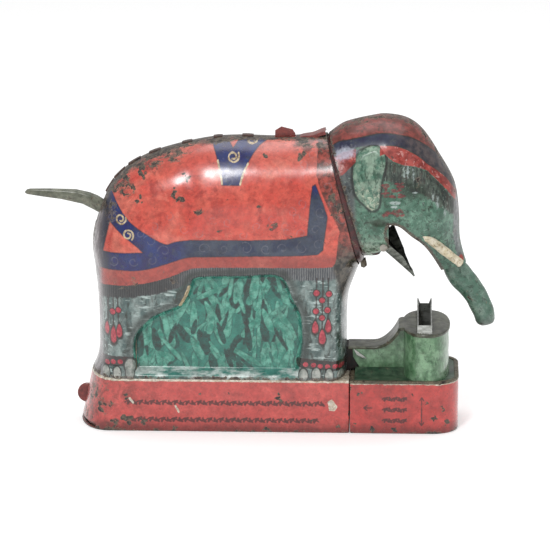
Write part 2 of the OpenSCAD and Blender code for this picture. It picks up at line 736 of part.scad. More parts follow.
// Sleeve on the head that slides in the body's neck; deep at the bottom, where the gap opens
module neck_sleeve() {
    // sections inside the body, at the opening, and in the head, whose chin stands higher
    function inside(gap) = [for (p = neck_loop(gap)) [mix(-10.5, -1.2, p.y / neck_len), p.x, p.y]];
    function opening(gap) = [for (p = neck_loop(gap)) [-0.4, p.x, p.y]];
    function in_head(gap) = [for (p = neck_loop(gap))
        [mix(4.1, 2.2, p.y / neck_len), p.x, mix(chin_rise, neck_len, p.y / neck_len)]];
    rings = [inside(sleeve_gap), opening(sleeve_gap), in_head(tin + 0.4),
        in_head(tin + 0.4 + sleeve_t), opening(sleeve_gap + sleeve_t),
        inside(sleeve_gap + sleeve_t)];
    n = len(rings[0]);
    faces = [for (k = [0 : 5], i = [0 : n - 1])
        let(a = k * n + i, b = k * n + (i + 1) % n,
            c = ((k + 1) % 6) * n + (i + 1) % n, d = ((k + 1) % 6) * n + i)
        each [[a, b, c], [a, c, d]]];
    color([0.4, 0.18, 0.14]) in_neck()
        polyhedron(points = [for (ring = rings) each ring], faces = faces, convexity = 6);
}

hoop_gap = sleeve_gap + sleeve_t + 0.1;
function hoop_loop(gap) =
    [for (p = neck_loop(gap)) [p.x, mix(chin_rise, neck_len, p.y / neck_len)]];

// Hoop in the head's open rear: it carries the hinge knuckle and the lug of the head rod
module head_hoop() {
    color([0.5, 0.47, 0.42]) difference() {
        union() {
            in_neck() translate([2.9, 0, 0]) rotate([90, 0, 90]) linear_extrude(strap)
                difference() {
                    polygon(hoop_loop(hoop_gap));
                    polygon(hoop_loop(hoop_gap + 1.2));
                }
            // knuckle and its web
            cross_bar(neck_pivot, 1.6, -3.7, 3.7);
            upright(-3.7, 7.4) strap_outline(neck_pivot, neck_pivot + [1.7, 0.6], 1.6);
            // lug for the head rod
            upright(arm_y, strap) strap_outline(head_lug, [36, 69.4], 3);
            cross_bar(head_lug, pin_d / 2, rod_y - 0.3, arm_y);
        }
        cross_bar(neck_pivot, pin_d / 2 + run_fit, -30, 30);
    }
}

// Lower half of the trunk, a closed tube that the head's halves grip
module lower_trunk() {
    line = [[68.4, 60.2, 3.4], [71.7, 54.6, 4.5], [77.1, 47.9, 4], [80.6, 41.5, 3.6],
        [81.5, 37.6, 3.1]];
    path = concat([for (i = [0 : 12]) let(p = along(line, i / 12)) [p.x, 0, p.y, p.z]],
        [[81.7, 0, 36.4, 2.4], [81.8, 0, 35.8, 1.2]]);
    color([0.4, 0.54, 0.46]) tube(path, 16);
}

tusk_r = 1.6;
tusk_root = [57.4, 14.6, 73.4];
tusk_tip = [72, 7.8, 60.4];

// Rolled sheet tusk, open at the end
module tusk() {
    d = tusk_tip - tusk_root;
    color([0.86, 0.82, 0.7]) translate(tusk_root)
        rotate([0, acos(d.z / norm(d)), atan2(d.y, d.x)]) difference() {
            cylinder(r = tusk_r, h = norm(d));
            translate([0, 0, norm(d) - 6]) cylinder(r = tusk_r - tin, h = 10);
        }
}

module left_tusk() { tusk(); }

module right_tusk() { mirror([0, 1, 0]) tusk(); }

module jaw_pin() {
    color([0.6, 0.58, 0.55]) {
        cross_bar(jaw_pivot, pin_d / 2, -18, 18);
        for (y = [-18.6, 17.8]) cross_bar(jaw_pivot, 1.3, y, y + 0.8);
    }
}

// ---------------------------------------------------------------- jaw

jaw_tip = [56.7, 54.6];
jaw_len = norm(jaw_tip - jaw_pivot);
jaw_slope = atan2(jaw_tip.y - jaw_pivot.y, jaw_tip.x - jaw_pivot.x);
jaw_half = 12.4;
jaw_wall = 3;
jaw_barrel = 1.7;
// Room cut round the barrel so that the trough turns clear of the chin
jaw_room = 5.4;

// Pointed trough with its hinge barrel and the crank that the wire pulls
module jaw() {
    wall_turn = atan2(jaw_half - 1, jaw_len);
    wall_len = norm([jaw_half - 1, jaw_len]);
    color([0.4, 0.42, 0.4]) difference() {
        union() {
            translate([jaw_pivot.x, 0, jaw_pivot.y]) rotate([0, -jaw_slope, 0]) {
                translate([0, 0, -jaw_barrel]) linear_extrude(tin)
                    polygon([[0, -jaw_half], [jaw_len, -1.2], [jaw_len, 1.2], [0, jaw_half]]);
                for (side = [-1, 1]) translate([0.3, side * (jaw_half - 0.5), -jaw_barrel + 0.2])
                    rotate([0, 0, -side * wall_turn])
                        translate([0, side > 0 ? 0 : tin, 0]) rotate([90, 0, 0])
                            linear_extrude(tin)
                                polygon([[0, 0], [wall_len - 1, 0], [wall_len - 1, 1],
                                    [wall_len * 0.5, jaw_wall], [1, jaw_wall]]);
            }
            cross_bar(jaw_pivot, jaw_barrel, -jaw_half, jaw_half);
            upright(0.4 - rod_y, strap) strap_outline(jaw_pivot, jaw_crank_end, 2.6);
            cross_bar(jaw_crank_end, pin_d / 2, -rod_y - strap - 0.3, 0.8 - rod_y);
        }
        cross_bar(jaw_pivot, pin_d / 2 + run_fit, -30, 30);
    }
}

// Wire from the bracket's pin to the jaw's crank, with an eye at each end
module jaw_wire() {
    d = jaw_crank_end - wire_post;
    y = -rod_y - strap / 2;
    color([0.62, 0.62, 0.6]) difference() {
        union() {
            translate([wire_post.x, y, wire_post.y])
                rotate([0, 90 - atan2(d.y, d.x), 0]) cylinder(r = 0.4, h = norm(d));
            for (p = [wire_post, jaw_crank_end])
                cross_bar(p, pin_d / 2 + eye_play + 0.7, y - 0.4, y + 0.4);
        }
        cross_bar(wire_post, pin_d / 2 + run_fit, -30, 30);
        cross_bar(jaw_crank_end, pin_d / 2 + eye_play + 0.05, -30, 30);
    }
}

right_body_shell();
left_body_shell();
base_shell();
slide_guides();
coin_slide();
front_base_shell();
front_base_top();
stump_wall();
stump_cover();
coin_chute();
kicker_lever();
kicker_shaft();
right_kicker_bracket();
left_kicker_bracket();
kicker_rod();
tail();
tail_lever();
tail_shaft();
right_tail_bracket();
left_tail_bracket();
bracket_stay();
return_spring();
rod_rivets();
head_rod();
neck_bracket();
neck_pin();
right_head_shell();
left_head_shell();
neck_sleeve();
head_hoop();
lower_trunk();
right_tusk();
left_tusk();
jaw_pin();
jaw();
jaw_wire();
wire_pin();
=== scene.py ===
"""Looks of the tinplate elephant bank: pressed halves, printed tin, worn lacquer and rust."""
import json
import math

import bpy
import numpy as np
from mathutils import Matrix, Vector


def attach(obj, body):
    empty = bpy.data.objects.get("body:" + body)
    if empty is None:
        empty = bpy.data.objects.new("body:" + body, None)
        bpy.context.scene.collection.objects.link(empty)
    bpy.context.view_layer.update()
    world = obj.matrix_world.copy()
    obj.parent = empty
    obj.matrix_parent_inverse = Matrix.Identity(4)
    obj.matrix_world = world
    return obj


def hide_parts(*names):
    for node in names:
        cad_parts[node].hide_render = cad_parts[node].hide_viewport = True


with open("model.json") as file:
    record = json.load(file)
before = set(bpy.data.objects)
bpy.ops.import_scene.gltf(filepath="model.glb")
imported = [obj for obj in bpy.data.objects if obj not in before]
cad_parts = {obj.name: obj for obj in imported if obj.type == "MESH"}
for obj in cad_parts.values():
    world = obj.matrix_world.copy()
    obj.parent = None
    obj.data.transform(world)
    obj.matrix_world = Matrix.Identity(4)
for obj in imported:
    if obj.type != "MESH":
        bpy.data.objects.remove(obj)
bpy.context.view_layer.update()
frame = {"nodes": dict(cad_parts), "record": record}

MM = 0.001
TIN = 0.6
HALF = 19.0


# ------------------------------------------------------------------ curves and grids

def ease(t):
    c = np.clip(t, 0, 1)
    return c * c * (3 - 2 * c)


def mix(a, b, t):
    return a + (b - a) * t


def round_turn(n):
    """n equal angles of a whole turn."""
    return np.linspace(0, 2 * np.pi, n, endpoint=False)


def along(points, t):
    """Catmull-Rom curve through points of any dimension, t from 0 to 1."""
    p = np.asarray(points, float)
    n = len(p) - 1
    s = np.clip(np.asarray(t, float), 0, 1) * n
    i = np.minimum(n - 1, s.astype(int))
    a, b, c, d = p[np.maximum(0, i - 1)], p[i], p[i + 1], p[np.minimum(n, i + 2)]
    t = (s - i)[..., None]
    return 0.5 * (2 * b + (c - a) * t + (2 * a - 5 * b + 4 * c - d) * t ** 2
                  + (3 * b - a - 3 * c + d) * t ** 3)


def smooth(points, n=80):
    return along(points, np.linspace(0, 1, n))


def to_line(x, z, line):
    """Distance from points to a polyline."""
    best = np.full(np.shape(x), 1e9)
    line = np.asarray(line, float)
    for a, b in zip(line[:-1], line[1:]):
        d = b - a
        t = np.clip(((x - a[0]) * d[0] + (z - a[1]) * d[1]) / max(d @ d, 1e-9), 0, 1)
        best = np.minimum(best, np.hypot(x - a[0] - t * d[0], z - a[1] - t * d[1]))
    return best


def inside(x, z, outline):
    """Distance to a closed outline, positive inside it."""
    line = np.asarray(outline, float)
    line = np.vstack([line, line[:1]])
    odd = np.zeros(np.shape(x), bool)
    for a, b in zip(line[:-1], line[1:]):
        if a[1] != b[1]:
            cross = (b[0] - a[0]) * (z - a[1]) / (b[1] - a[1]) + a[0]
            odd ^= ((a[1] > z) != (b[1] > z)) & (x < cross)
    return np.where(odd, 1, -1) * to_line(x, z, line)


def above(x, z, line):
    """Height over a line that runs from low x to high x."""
    line = np.asarray(line, float)
    return z - np.interp(x, line[:, 0], line[:, 1])


def edge_share(x, z, seam):
    best = np.full(np.shape(x), 9.0)
    for a, b in zip(seam[:-1], seam[1:]):
        d = b[:2] - a[:2]
        t = np.clip(((x - a[0]) * d[0] + (z - a[1]) * d[1]) / (d @ d), 0, 1)
        gap = np.hypot(x - a[0] - t * d[0], z - a[1] - t * d[1])
        best = np.minimum(best, gap / mix(a[2], b[2], t))
    return best


def rounded(share):
    return np.sqrt(1 - (1 - np.clip(share, 0, 1)) ** 2)


def patch(low, top, rear, front, u, v):
    """Points inside four sides (a Coons patch)."""
    u, v = u[None, :, None], v[:, None, None]
    return ((1 - v) * low[None] + v * top[None] + (1 - u) * rear[:, None] + u * front[:, None]
            - (1 - u) * (1 - v) * low[0] - u * (1 - v) * low[-1]
            - (1 - u) * v * top[0] - u * v * top[-1])


def ripple(x, z, size, seed=0.0):
    """Gentle repeatable unevenness of old sheet metal, about -1 to 1."""
    total = 0
    for k, (a, b, c) in enumerate(((1.0, 0.3, 0.2), (-0.5, 0.9, 1.7), (0.7, -0.8, 4.1),
                                   (0.2, 1.3, 2.6))):
        total = total + np.sin((a * x + b * z) * 6.28 / size * (1 + 0.27 * k) + c + seed)
    return total / 4


# ------------------------------------------------------------------ meshes

def make(name, points, faces, smooth_angle=40):
    """Blender object from points in millimetres and a list of faces."""
    mesh = bpy.data.meshes.new(name)
    mesh.from_pydata((np.asarray(points, float) * MM).tolist(), [], faces)
    mesh.validate()
    mesh.update()
    if volume(mesh) < 0:
        mesh.flip_normals()
    obj = bpy.data.objects.new(name, mesh)
    bpy.context.scene.collection.objects.link(obj)
    mesh.shade_smooth()
    if smooth_angle:
        mesh.set_sharp_from_angle(angle=math.radians(smooth_angle))
    return obj


def finish_piece(obj, body, slot, material, *nodes):
    if not any(obj.data.materials):
        obj.data.materials.clear()
        obj.data.materials.append(material)
    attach(obj, body)
    if nodes:
        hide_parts(*nodes)
    return obj


def quads(rows, cols, start=0, flip=False, wrap_cols=False, wrap_rows=False):
    """Faces of a grid of points, optionally closed round in either direction."""
    j, i = np.meshgrid(np.arange(rows if wrap_rows else rows - 1),
                       np.arange(cols if wrap_cols else cols - 1), indexing="ij")
    j2, i2 = (j + 1) % rows, (i + 1) % cols
    f = np.stack([j * cols + i, j * cols + i2, j2 * cols + i2, j2 * cols + i], -1)
    f = f.reshape(-1, 4) + start
    return (f[:, ::-1] if flip else f).tolist()


def loft(rings, closed=False, caps=True, flip=False):
    """Points and faces through rings of points; closed joins the last ring to the first."""
    rings = np.asarray(rings, float)
    rows, cols = rings.shape[:2]
    faces = quads(rows, cols, 0, flip, True, closed)
    if caps and not closed:
        first, last = list(range(cols)), list(range((rows - 1) * cols, rows * cols))
        faces += [first if flip else first[::-1], last[::-1] if flip else last]
    return rings.reshape(-1, 3), faces


def join_parts(parts):
    points, faces, start = [], [], 0
    for p, f in parts:
        points.append(np.asarray(p, float))
        faces += [[i + start for i in face] for face in f]
        start += len(p)
    return np.vstack(points), faces


def shell_faces(outer, inner, step):
    """Closed sheet: a fine outer grid, a coarse inner grid and the rim between them."""
    rows, cols = outer.shape[:2]
    r2, c2 = inner.shape[:2]
    n = rows * cols
    faces = quads(rows, cols) + quads(r2, c2, n, True)
    sides = []
    for k in range(c2 - 1):
        sides.append(([(0, step * k + m) for m in range(step + 1)], (0, k), (0, k + 1), False))
        sides.append(([(rows - 1, step * k + m) for m in range(step + 1)],
                      (r2 - 1, k), (r2 - 1, k + 1), True))
    for k in range(r2 - 1):
        sides.append(([(step * k + m, 0) for m in range(step + 1)], (k, 0), (k + 1, 0), True))
        sides.append(([(step * k + m, cols - 1) for m in range(step + 1)],
                      (k, c2 - 1), (k + 1, c2 - 1), False))
    for fine, a, b, flip in sides:
        face = [j * cols + i for j, i in fine]
        face = face[::-1] + [n + a[0] * c2 + a[1], n + b[0] * c2 + b[1]]
        faces.append(face[::-1] if flip else face)
    points = np.vstack([outer.reshape(-1, 3), inner.reshape(-1, 3)])
    return points, faces


def bar(p, q, r, sides=20):
    """Round bar from p to q with softened ends."""
    p, q = np.asarray(p, float), np.asarray(q, float)
    d = (q - p) / np.linalg.norm(q - p)
    a = np.cross(d, [0, 1, 0] if abs(d[1]) < 0.9 else [1, 0, 0])
    a /= np.linalg.norm(a)
    b = np.cross(d, a)
    turn = round_turn(sides)
    around = np.cos(turn)[:, None] * a + np.sin(turn)[:, None] * b
    soft = min(0.15, 0.3 * r)
    rings = [p + around * (r - soft), p + d * soft + around * r,
             q - d * soft + around * r, q + around * (r - soft)]
    return loft(rings)


def plate(outline, y0, y1, soft=0.12):
    """Flat plate with softened edges: an outline of (x, z) between two planes."""
    o = np.asarray(outline, float)
    middle = o.mean(0)
    small = middle + (o - middle) * (1 - soft / max(np.abs(o - middle).max(), 1))
    ring = lambda pts, y: np.stack([pts[:, 0], np.full(len(pts), y), pts[:, 1]], -1)
    return loft([ring(small, y0), ring(o, y0 + soft), ring(o, y1 - soft), ring(small, y1)])


def strap(p, q, w):
    """Outline of a strap with round ends."""
    p, q = np.asarray(p, float), np.asarray(q, float)
    turn = math.atan2(*(q - p)[::-1])
    ends = [p + w / 2 * np.array([math.cos(a + turn), math.sin(a + turn)])
            for a in np.linspace(math.pi / 2, 1.5 * math.pi, 12)]
    ends += [q + w / 2 * np.array([math.cos(a + turn), math.sin(a + turn)])
             for a in np.linspace(-math.pi / 2, math.pi / 2, 12)]
    return np.array(ends)


def volume(mesh):
    """Signed volume in cubic millimetres of a closed mesh."""
    mesh.calc_loop_triangles()
    tris = np.empty(len(mesh.loop_triangles) * 3, int)
    mesh.loop_triangles.foreach_get("vertices", tris)
    points = np.empty(len(mesh.vertices) * 3, np.float32)
    mesh.vertices.foreach_get("co", points)
    a, b, c = (points.reshape(-1, 3).astype(float)[tris[k::3]] / MM for k in range(3))
    return np.einsum("ij,ij->i", a, np.cross(b, c)).sum() / 6


def line_inside(obj, material, outer_faces):
    """Printed material outside and bare tin on every face after the outer ones."""
    obj.data.materials.append(material)
    obj.data.materials.append(tin_mat)
    index = np.zeros(len(obj.data.polygons), int)
    index[outer_faces:] = 1
    obj.data.polygons.foreach_set("material_index", index)


def cut(obj, *parts):
    """Cuts closed shapes out of a piece and applies the result."""
    for part in parts:
        cutter = make("cutter", *part, smooth_angle=0)
        whole = volume(obj.data)
        for solver in ("MANIFOLD", "EXACT", "FLOAT"):
            mod = obj.modifiers.new("cut", "BOOLEAN")
            mod.operation, mod.solver, mod.object = "DIFFERENCE", solver, cutter
            dg = bpy.context.evaluated_depsgraph_get()
            result = bpy.data.meshes.new_from_object(obj.evaluated_get(dg))
            obj.modifiers.clear()
            if 0.6 * whole < volume(result) < whole:
                obj.data = result
                break
        bpy.data.objects.remove(cutter)


def block(x0, x1, y0, y1, z0, z1):
    ring = lambda z: [[x0, y0, z], [x1, y0, z], [x1, y1, z], [x0, y1, z]]
    return loft([ring(z0), ring(z1)])


# ------------------------------------------------------------------ material graphs

def rgb(r, g, b):
    lin = [c / 255 / 12.92 if c / 255 <= 0.04045 else ((c / 255 + 0.055) / 1.055) ** 2.4
           for c in (r, g, b)]
    # the lacquer's own gloss adds a little white to every colour
    return (*(max(0.004, 0.9 * c - 0.032) for c in lin), 1.0)


COAT_ROUGHNESS = 0.19      # the old clear lacquer is a little dull


class Graph:
    """Small helper that builds a node material."""

    def __init__(self, name):
        self.mat = bpy.data.materials.new(name)
        self.mat.use_nodes = True
        self.tree = self.mat.node_tree
        self.shader = self.tree.nodes["Principled BSDF"]
        self.place = self.node("ShaderNodeTexCoord").outputs["Object"]
        self.x, _, self.z = self.node("ShaderNodeSeparateXYZ", {0: self.place}).outputs

    def node(self, kind, inputs=None, **props):
        n = self.tree.nodes.new(kind)
        for k, v in props.items():
            setattr(n, k, v)
        for k, v in (inputs or {}).items():
            self.put(n.inputs[k], v)
        return n

    def put(self, socket, value):
        if isinstance(value, bpy.types.NodeSocket):
            self.tree.links.new(value, socket)
        else:
            socket.default_value = value

    def sum(self, a, b):
        return self.node("ShaderNodeMath", {0: a, 1: b}, operation="ADD").outputs[0]

    def less(self, a, b):
        return self.node("ShaderNodeMath", {0: a, 1: b}, operation="SUBTRACT").outputs[0]

    def times(self, a, b):
        return self.node("ShaderNodeMath", {0: a, 1: b}, operation="MULTIPLY").outputs[0]

    def size(self, a):
        return self.node("ShaderNodeMath", {0: a}, operation="ABSOLUTE").outputs[0]

    def field(self, name):
        return self.node("ShaderNodeAttribute", attribute_name=name).outputs["Fac"]

    def noise(self, size, detail=4, rough=0.6, stretch=(1, 1, 1), seed=0.0, warp=0.0):
        """Noise with features of about size mm, 0 to 1."""
        scale = [1000 / size / s for s in stretch]
        shift = (seed * 1.7, seed * 0.9, -seed * 1.3)
        at = self.node("ShaderNodeMapping", {"Vector": self.place, "Location": shift,
                                             "Scale": scale}).outputs[0]
        return self.node("ShaderNodeTexNoise", {"Vector": at, "Scale": 1.0, "Detail": detail,
                                                "Roughness": rough, "Distortion": warp}).outputs[0]

    def step(self, value, low, high, top=1.0):
        return self.node("ShaderNodeMapRange", {0: value, 1: low, 2: high, 3: 0.0, 4: top},
                         interpolation_type="SMOOTHSTEP").outputs[0]

    def blend(self, fac, a, b, mode="MIX"):
        """Mix of two colours, each a socket, a printed colour of 0 to 255 or a linear one."""
        a, b = (rgb(*c) if isinstance(c, tuple) and len(c) == 3 else c for c in (a, b))
        return self.node("ShaderNodeMix", {0: fac, 6: a, 7: b}, data_type="RGBA",
                         blend_type=mode).outputs[2]

    def spots(self, base, tint, size, low, high, top=1.0, **kw):
        """Tint over base in blots of about size mm."""
        return self.blend(self.step(self.noise(size, **kw), low, high, top), base, tint)

    def mottled(self, a, b, size, seed=0.0, low=0.35, high=0.65, **kw):
        return self.spots(a, b, size, low, high, seed=seed, **kw)

    def layer(self, base, name, paint, wobble=0.25, soft=0.12, seed=0.0, strength=1.0):
        """Paints over base where the field is positive, with a slightly uneven edge."""
        edge = self.times(self.less(self.noise(1.1, 3, seed=seed), 0.5), wobble * 2)
        value = self.sum(self.field(name), edge)
        return self.blend(self.step(value, -soft, soft, strength), base, paint)

    def relief(self, height, depth_mm, below=None):
        inputs = {"Height": height, "Distance": depth_mm * MM, "Strength": 1.0}
        if below is not None:
            inputs["Normal"] = below
        return self.node("ShaderNodeBump", inputs).outputs[0]

    def done(self, color, roughness, normal=None, metallic=0.0, coat=0.0):
        self.put(self.shader.inputs["Base Color"], color)
        self.put(self.shader.inputs["Roughness"], roughness)
        self.put(self.shader.inputs["Metallic"], metallic)
        if coat:
            self.shader.inputs["Coat Weight"].default_value = coat
            self.shader.inputs["Coat Roughness"].default_value = COAT_ROUGHNESS
        if normal is not None:
            self.put(self.shader.inputs["Normal"], normal)
        return self.mat

    def age(self, color, wear, chips=0.0, gloss=0.25, coat=0.35, grime=0.5, dents=0.12):
        """Old lacquer: brown grime, small dark pits, flaked spots down to rusty tin."""
        dirt = self.step(self.noise(9, 6, 0.65, seed=3.1), 0.48, 0.75, grime)
        color = self.blend(dirt, color, self.blend(0.6, color, (62, 48, 40)))
        grain = self.step(self.noise(1.7, 7, 0.7, seed=4.9, warp=0.4), 0.3, 0.7)
        color = self.blend(0.5, color, self.blend(grain, (0.30, 0.27, 0.27, 1), (1, 1, 1, 1)),
                           "MULTIPLY")
        stain = self.step(self.noise(6.5, 7, 0.72, seed=8.6, warp=0.9), 0.52, 0.70, grime)
        color = self.blend(stain, color, self.blend(0.45, color, (84, 56, 50)))
        pits = self.step(self.noise(0.9, 2, 0.5, seed=7.7), 0.70, 0.76, 0.7)
        color = self.blend(pits, color, (58, 44, 38))
        rub = self.sum(self.noise(3.2, 8, 0.72, seed=5.3, warp=0.6), self.times(wear, 0.27))
        flake = self.step(rub, 0.705 - chips, 0.735 - chips)
        rim = self.step(rub, 0.688 - chips, 0.705 - chips, 0.25)
        color = self.blend(rim, color, (196, 176, 150))
        tin = self.spots((62, 52, 46), (108, 98, 86), 1.3, 0.4, 0.62, detail=5, rough=0.7, seed=1.9)
        color = self.blend(flake, color, tin)
        rough = self.sum(self.step(self.noise(5, 5, seed=2.2), 0.3, 0.8, 0.22), gloss)
        rough = self.sum(rough, self.times(flake, 0.4))
        normal = self.relief(self.noise(7, 3, seed=4.4), dents)
        normal = self.relief(self.noise(0.5, 3, seed=6.1), 0.006, normal)
        normal = self.relief(self.times(flake, -1.0), 0.03, normal)
        return self.done(color, rough, normal, coat=coat)


def bare_metal(name, light, dark, rust, rough=0.4, metallic=0.7, amount=0.5):
    """Drawn or cut sheet with streaks and rust blooms."""
    g = Graph(name)
    color = g.mottled(dark, light, 1.6, 1.2, stretch=(3, 1, 1), detail=6)
    bloom = g.step(g.noise(2.6, 7, 0.7, seed=8.2, warp=0.5), 0.62 - 0.14 * amount,
                   0.72 - 0.1 * amount)
    color = g.blend(bloom, color, g.mottled(rust, (70, 52, 42), 0.8, 3.3))
    roughness = g.sum(g.times(bloom, 0.35),
                      g.step(g.noise(0.7, 4, seed=2.0, stretch=(4, 1, 1)), 0.2, 0.8, 0.2))
    roughness = g.sum(roughness, rough)
    normal = g.relief(g.noise(0.6, 5, seed=5.0), 0.012)
    normal = g.relief(bloom, 0.02, normal)
    metal = g.less(metallic, g.times(bloom, metallic * 0.8))
    return g.done(color, roughness, normal, metallic=metal)


tin_mat = bare_metal("bare tin", (150, 146, 134), (104, 98, 88), (112, 78, 56))
pin_mat = bare_metal("steel pin", (172, 168, 160), (120, 114, 106), (104, 76, 58), 0.3, 0.85, 0.2)
chute_mat = bare_metal("chute tin", (206, 208, 204), (140, 142, 136), (96, 84, 70), 0.28, 0.8, 0.1)
jaw_mat = bare_metal("jaw tin", (158, 162, 154), (104, 108, 102), (84, 66, 56), 0.36, 0.65, 0.45)

# every CAD node first gets a fitting worn metal; the printed pieces below replace the rest
by_slot = {"steel_pin": pin_mat, "bare_tin": tin_mat}
slots = {s["node"]: s["material_slot"] for s in frame["record"]["subparts"]}
for node_name, node_obj in frame["nodes"].items():
    for material_slot in node_obj.material_slots:
        material_slot.material = by_slot.get(slots[node_name], tin_mat)


# ------------------------------------------------------------------ elephant's body

NECK_LOW, NECK_HIGH = np.array([36, 58.8]), np.array([24, 105.8])
BACK = [[-60.4, 19.5, 10.8], [-58, 27, 11], [-58, 44, 12.5], [-59, 56, 14], [-60, 66, 15],
        [-58.4, 75, 17], [-55, 84, 20], [-51, 90, 22], [-44.5, 95.4, 24], [-35, 99.8, 25],
        [-20, 103.6, 25], [-8, 104.8, 25], [8, 104.6, 24], [24, 105.8, 22]]
RUMP_SPANS = 5
CHEST = [[31.8, 19.5, 5], [31.6, 35, 5], [32.2, 48, 6], [36, 58.8, 9]]
PANEL = [[-44.2, 12], [-44.2, 24.4], [-43.8, 34.4], [-38.4, 41.2], [-32.8, 44.3],
         [-27.4, 46.7], [-25, 50.5], [-23.7, 54.2], [-20.8, 56.8], [-5.4, 57.3], [8, 57.3],
         [12.6, 48.7], [15.4, 42.5], [15.9, 33.7], [14.8, 24], [14.8, 12]]
PANEL_LEDGE = 22.6


def body_grid(cols, rows):
    u = np.linspace(0, 1, cols)
    neck_row = int(rows * 0.46)
    v = np.concatenate([np.linspace(0, 0.586, neck_row, endpoint=False),
                        mix(0.586, 1, (1 - np.cos(np.linspace(0, np.pi, rows - neck_row))) / 2)])
    # rows by both rules, so that the side is even and the neck's corners are fine
    v = mix(v, np.interp(np.arange(rows), [0, neck_row, rows - 1], [0, 0.586, 1]), 0.5)
    u = mix(u, (1 - np.cos(np.pi * u)) / 2, 0.5)
    share = RUMP_SPANS / (len(BACK) - 1)
    rear = along(BACK, v * share)[:, :2]
    top = along(BACK, mix(share, 1, u))[:, :2]
    low = mix(np.array(BACK[0][:2]), np.array(CHEST[0][:2]), u[:, None])
    fore = np.where((v <= 0.586)[:, None], along(CHEST, np.minimum(v / 0.586, 1))[:, :2],
                    mix(NECK_LOW, NECK_HIGH, np.clip((v - 0.586) / 0.414, 0, 1)[:, None]))
    p = patch(low, top, rear, fore, u, v)
    x, z = p[..., 0], p[..., 1]
    seam = np.minimum(edge_share(x, z, smooth(BACK, 420)), edge_share(x, z, smooth(CHEST, 50)))
    seam[:, 0] = seam[-1] = 0
    seam[:neck_row + 1, -1] = 0
    return x, z, seam


def toes(x, z):
    """Pressed toes at the foot of each leg."""
    bump = 0
    for cx, cz, w, h in ((-54.4, 21.2, 2.2, 3.4), (-50.2, 21.4, 2.1, 3.6), (-45.6, 22.0, 2.3, 4.4),
                         (16.4, 21.4, 2.4, 3.6), (21.0, 21.6, 2.4, 3.9), (25.6, 21.4, 2.2, 3.7),
                         (29.6, 21.0, 1.7, 3.2)):
        d = np.hypot((x - cx) / w, (z - cz) / h)
        bump = np.maximum(bump, ease((1.05 - d) / 0.6))
    return bump


def body_reach(x, z):
    neck_x = mix(36, 24, (z - 58.8) / 47)
    wide = HALF - ease(1 - (neck_x - x) / 30) * ease((z - 30) / 30)
    hollow = inside(x, z, smooth(PANEL, 120))
    hollow = np.minimum(hollow, (z - PANEL_LEDGE + 1.2) * 0.8)
    wide = wide - 3.4 * ease((hollow + 0.9) / 2.6)
    # swell of the thigh and the flank, a crease before the thigh, toes
    wide = wide + 0.35 * ripple(x, z, 34, 0.6) * ease((z - 60) / 8) - 0.25
    crease = to_line(x, z, smooth([[-26, 97], [-24, 90], [-25.5, 82], [-28, 76]], 30))
    wide = wide - 0.5 * np.exp(-(crease / 3.4) ** 2)
    return wide + 0.45 * toes(x, z) * ease((24.5 - z) / 2)


def sheet_grids(x, z, share, wide, middle, step):
    """Outer grid and coarse inner grid of a pressed half that faces -Y."""
    gap = 0.02
    outer = np.stack([x, -gap - wide * rounded(share), z], -1)
    to_x, to_z = middle[..., 0] - x, middle[..., 1] - z
    pull = TIN * (1 - np.clip(share, 0, 1)) / np.maximum(np.hypot(to_x, to_z), 1)
    inner = np.stack([x + to_x * pull, -gap - (wide - TIN) * rounded(share), z + to_z * pull], -1)
    return outer, inner[::step, ::step]


def fields(obj, values):
    for name, value in values.items():
        layer = obj.data.attributes.new(name, "FLOAT", "POINT")
        layer.data.foreach_set("value", np.asarray(value, np.float32).ravel())


def curl(cx, cz, r, start, turns, squash=1.0):
    """Spiral scroll as a polyline."""
    inner_share, dots = 0.35, 26
    t = np.linspace(0, 1, dots)
    a = math.radians(start) + t * turns * 2 * np.pi
    k = r * (inner_share + (1 - inner_share) * t)
    return np.stack([cx + k * np.cos(a), cz + k * np.sin(a) * squash], -1)


def strokes(x, z, lines, width):
    """Field of a set of drawn lines, positive within half the width of one."""
    best = np.full(np.shape(x), -9.0)
    for line in lines:
        best = np.maximum(best, width / 2 - to_line(x, z, line))
    return best


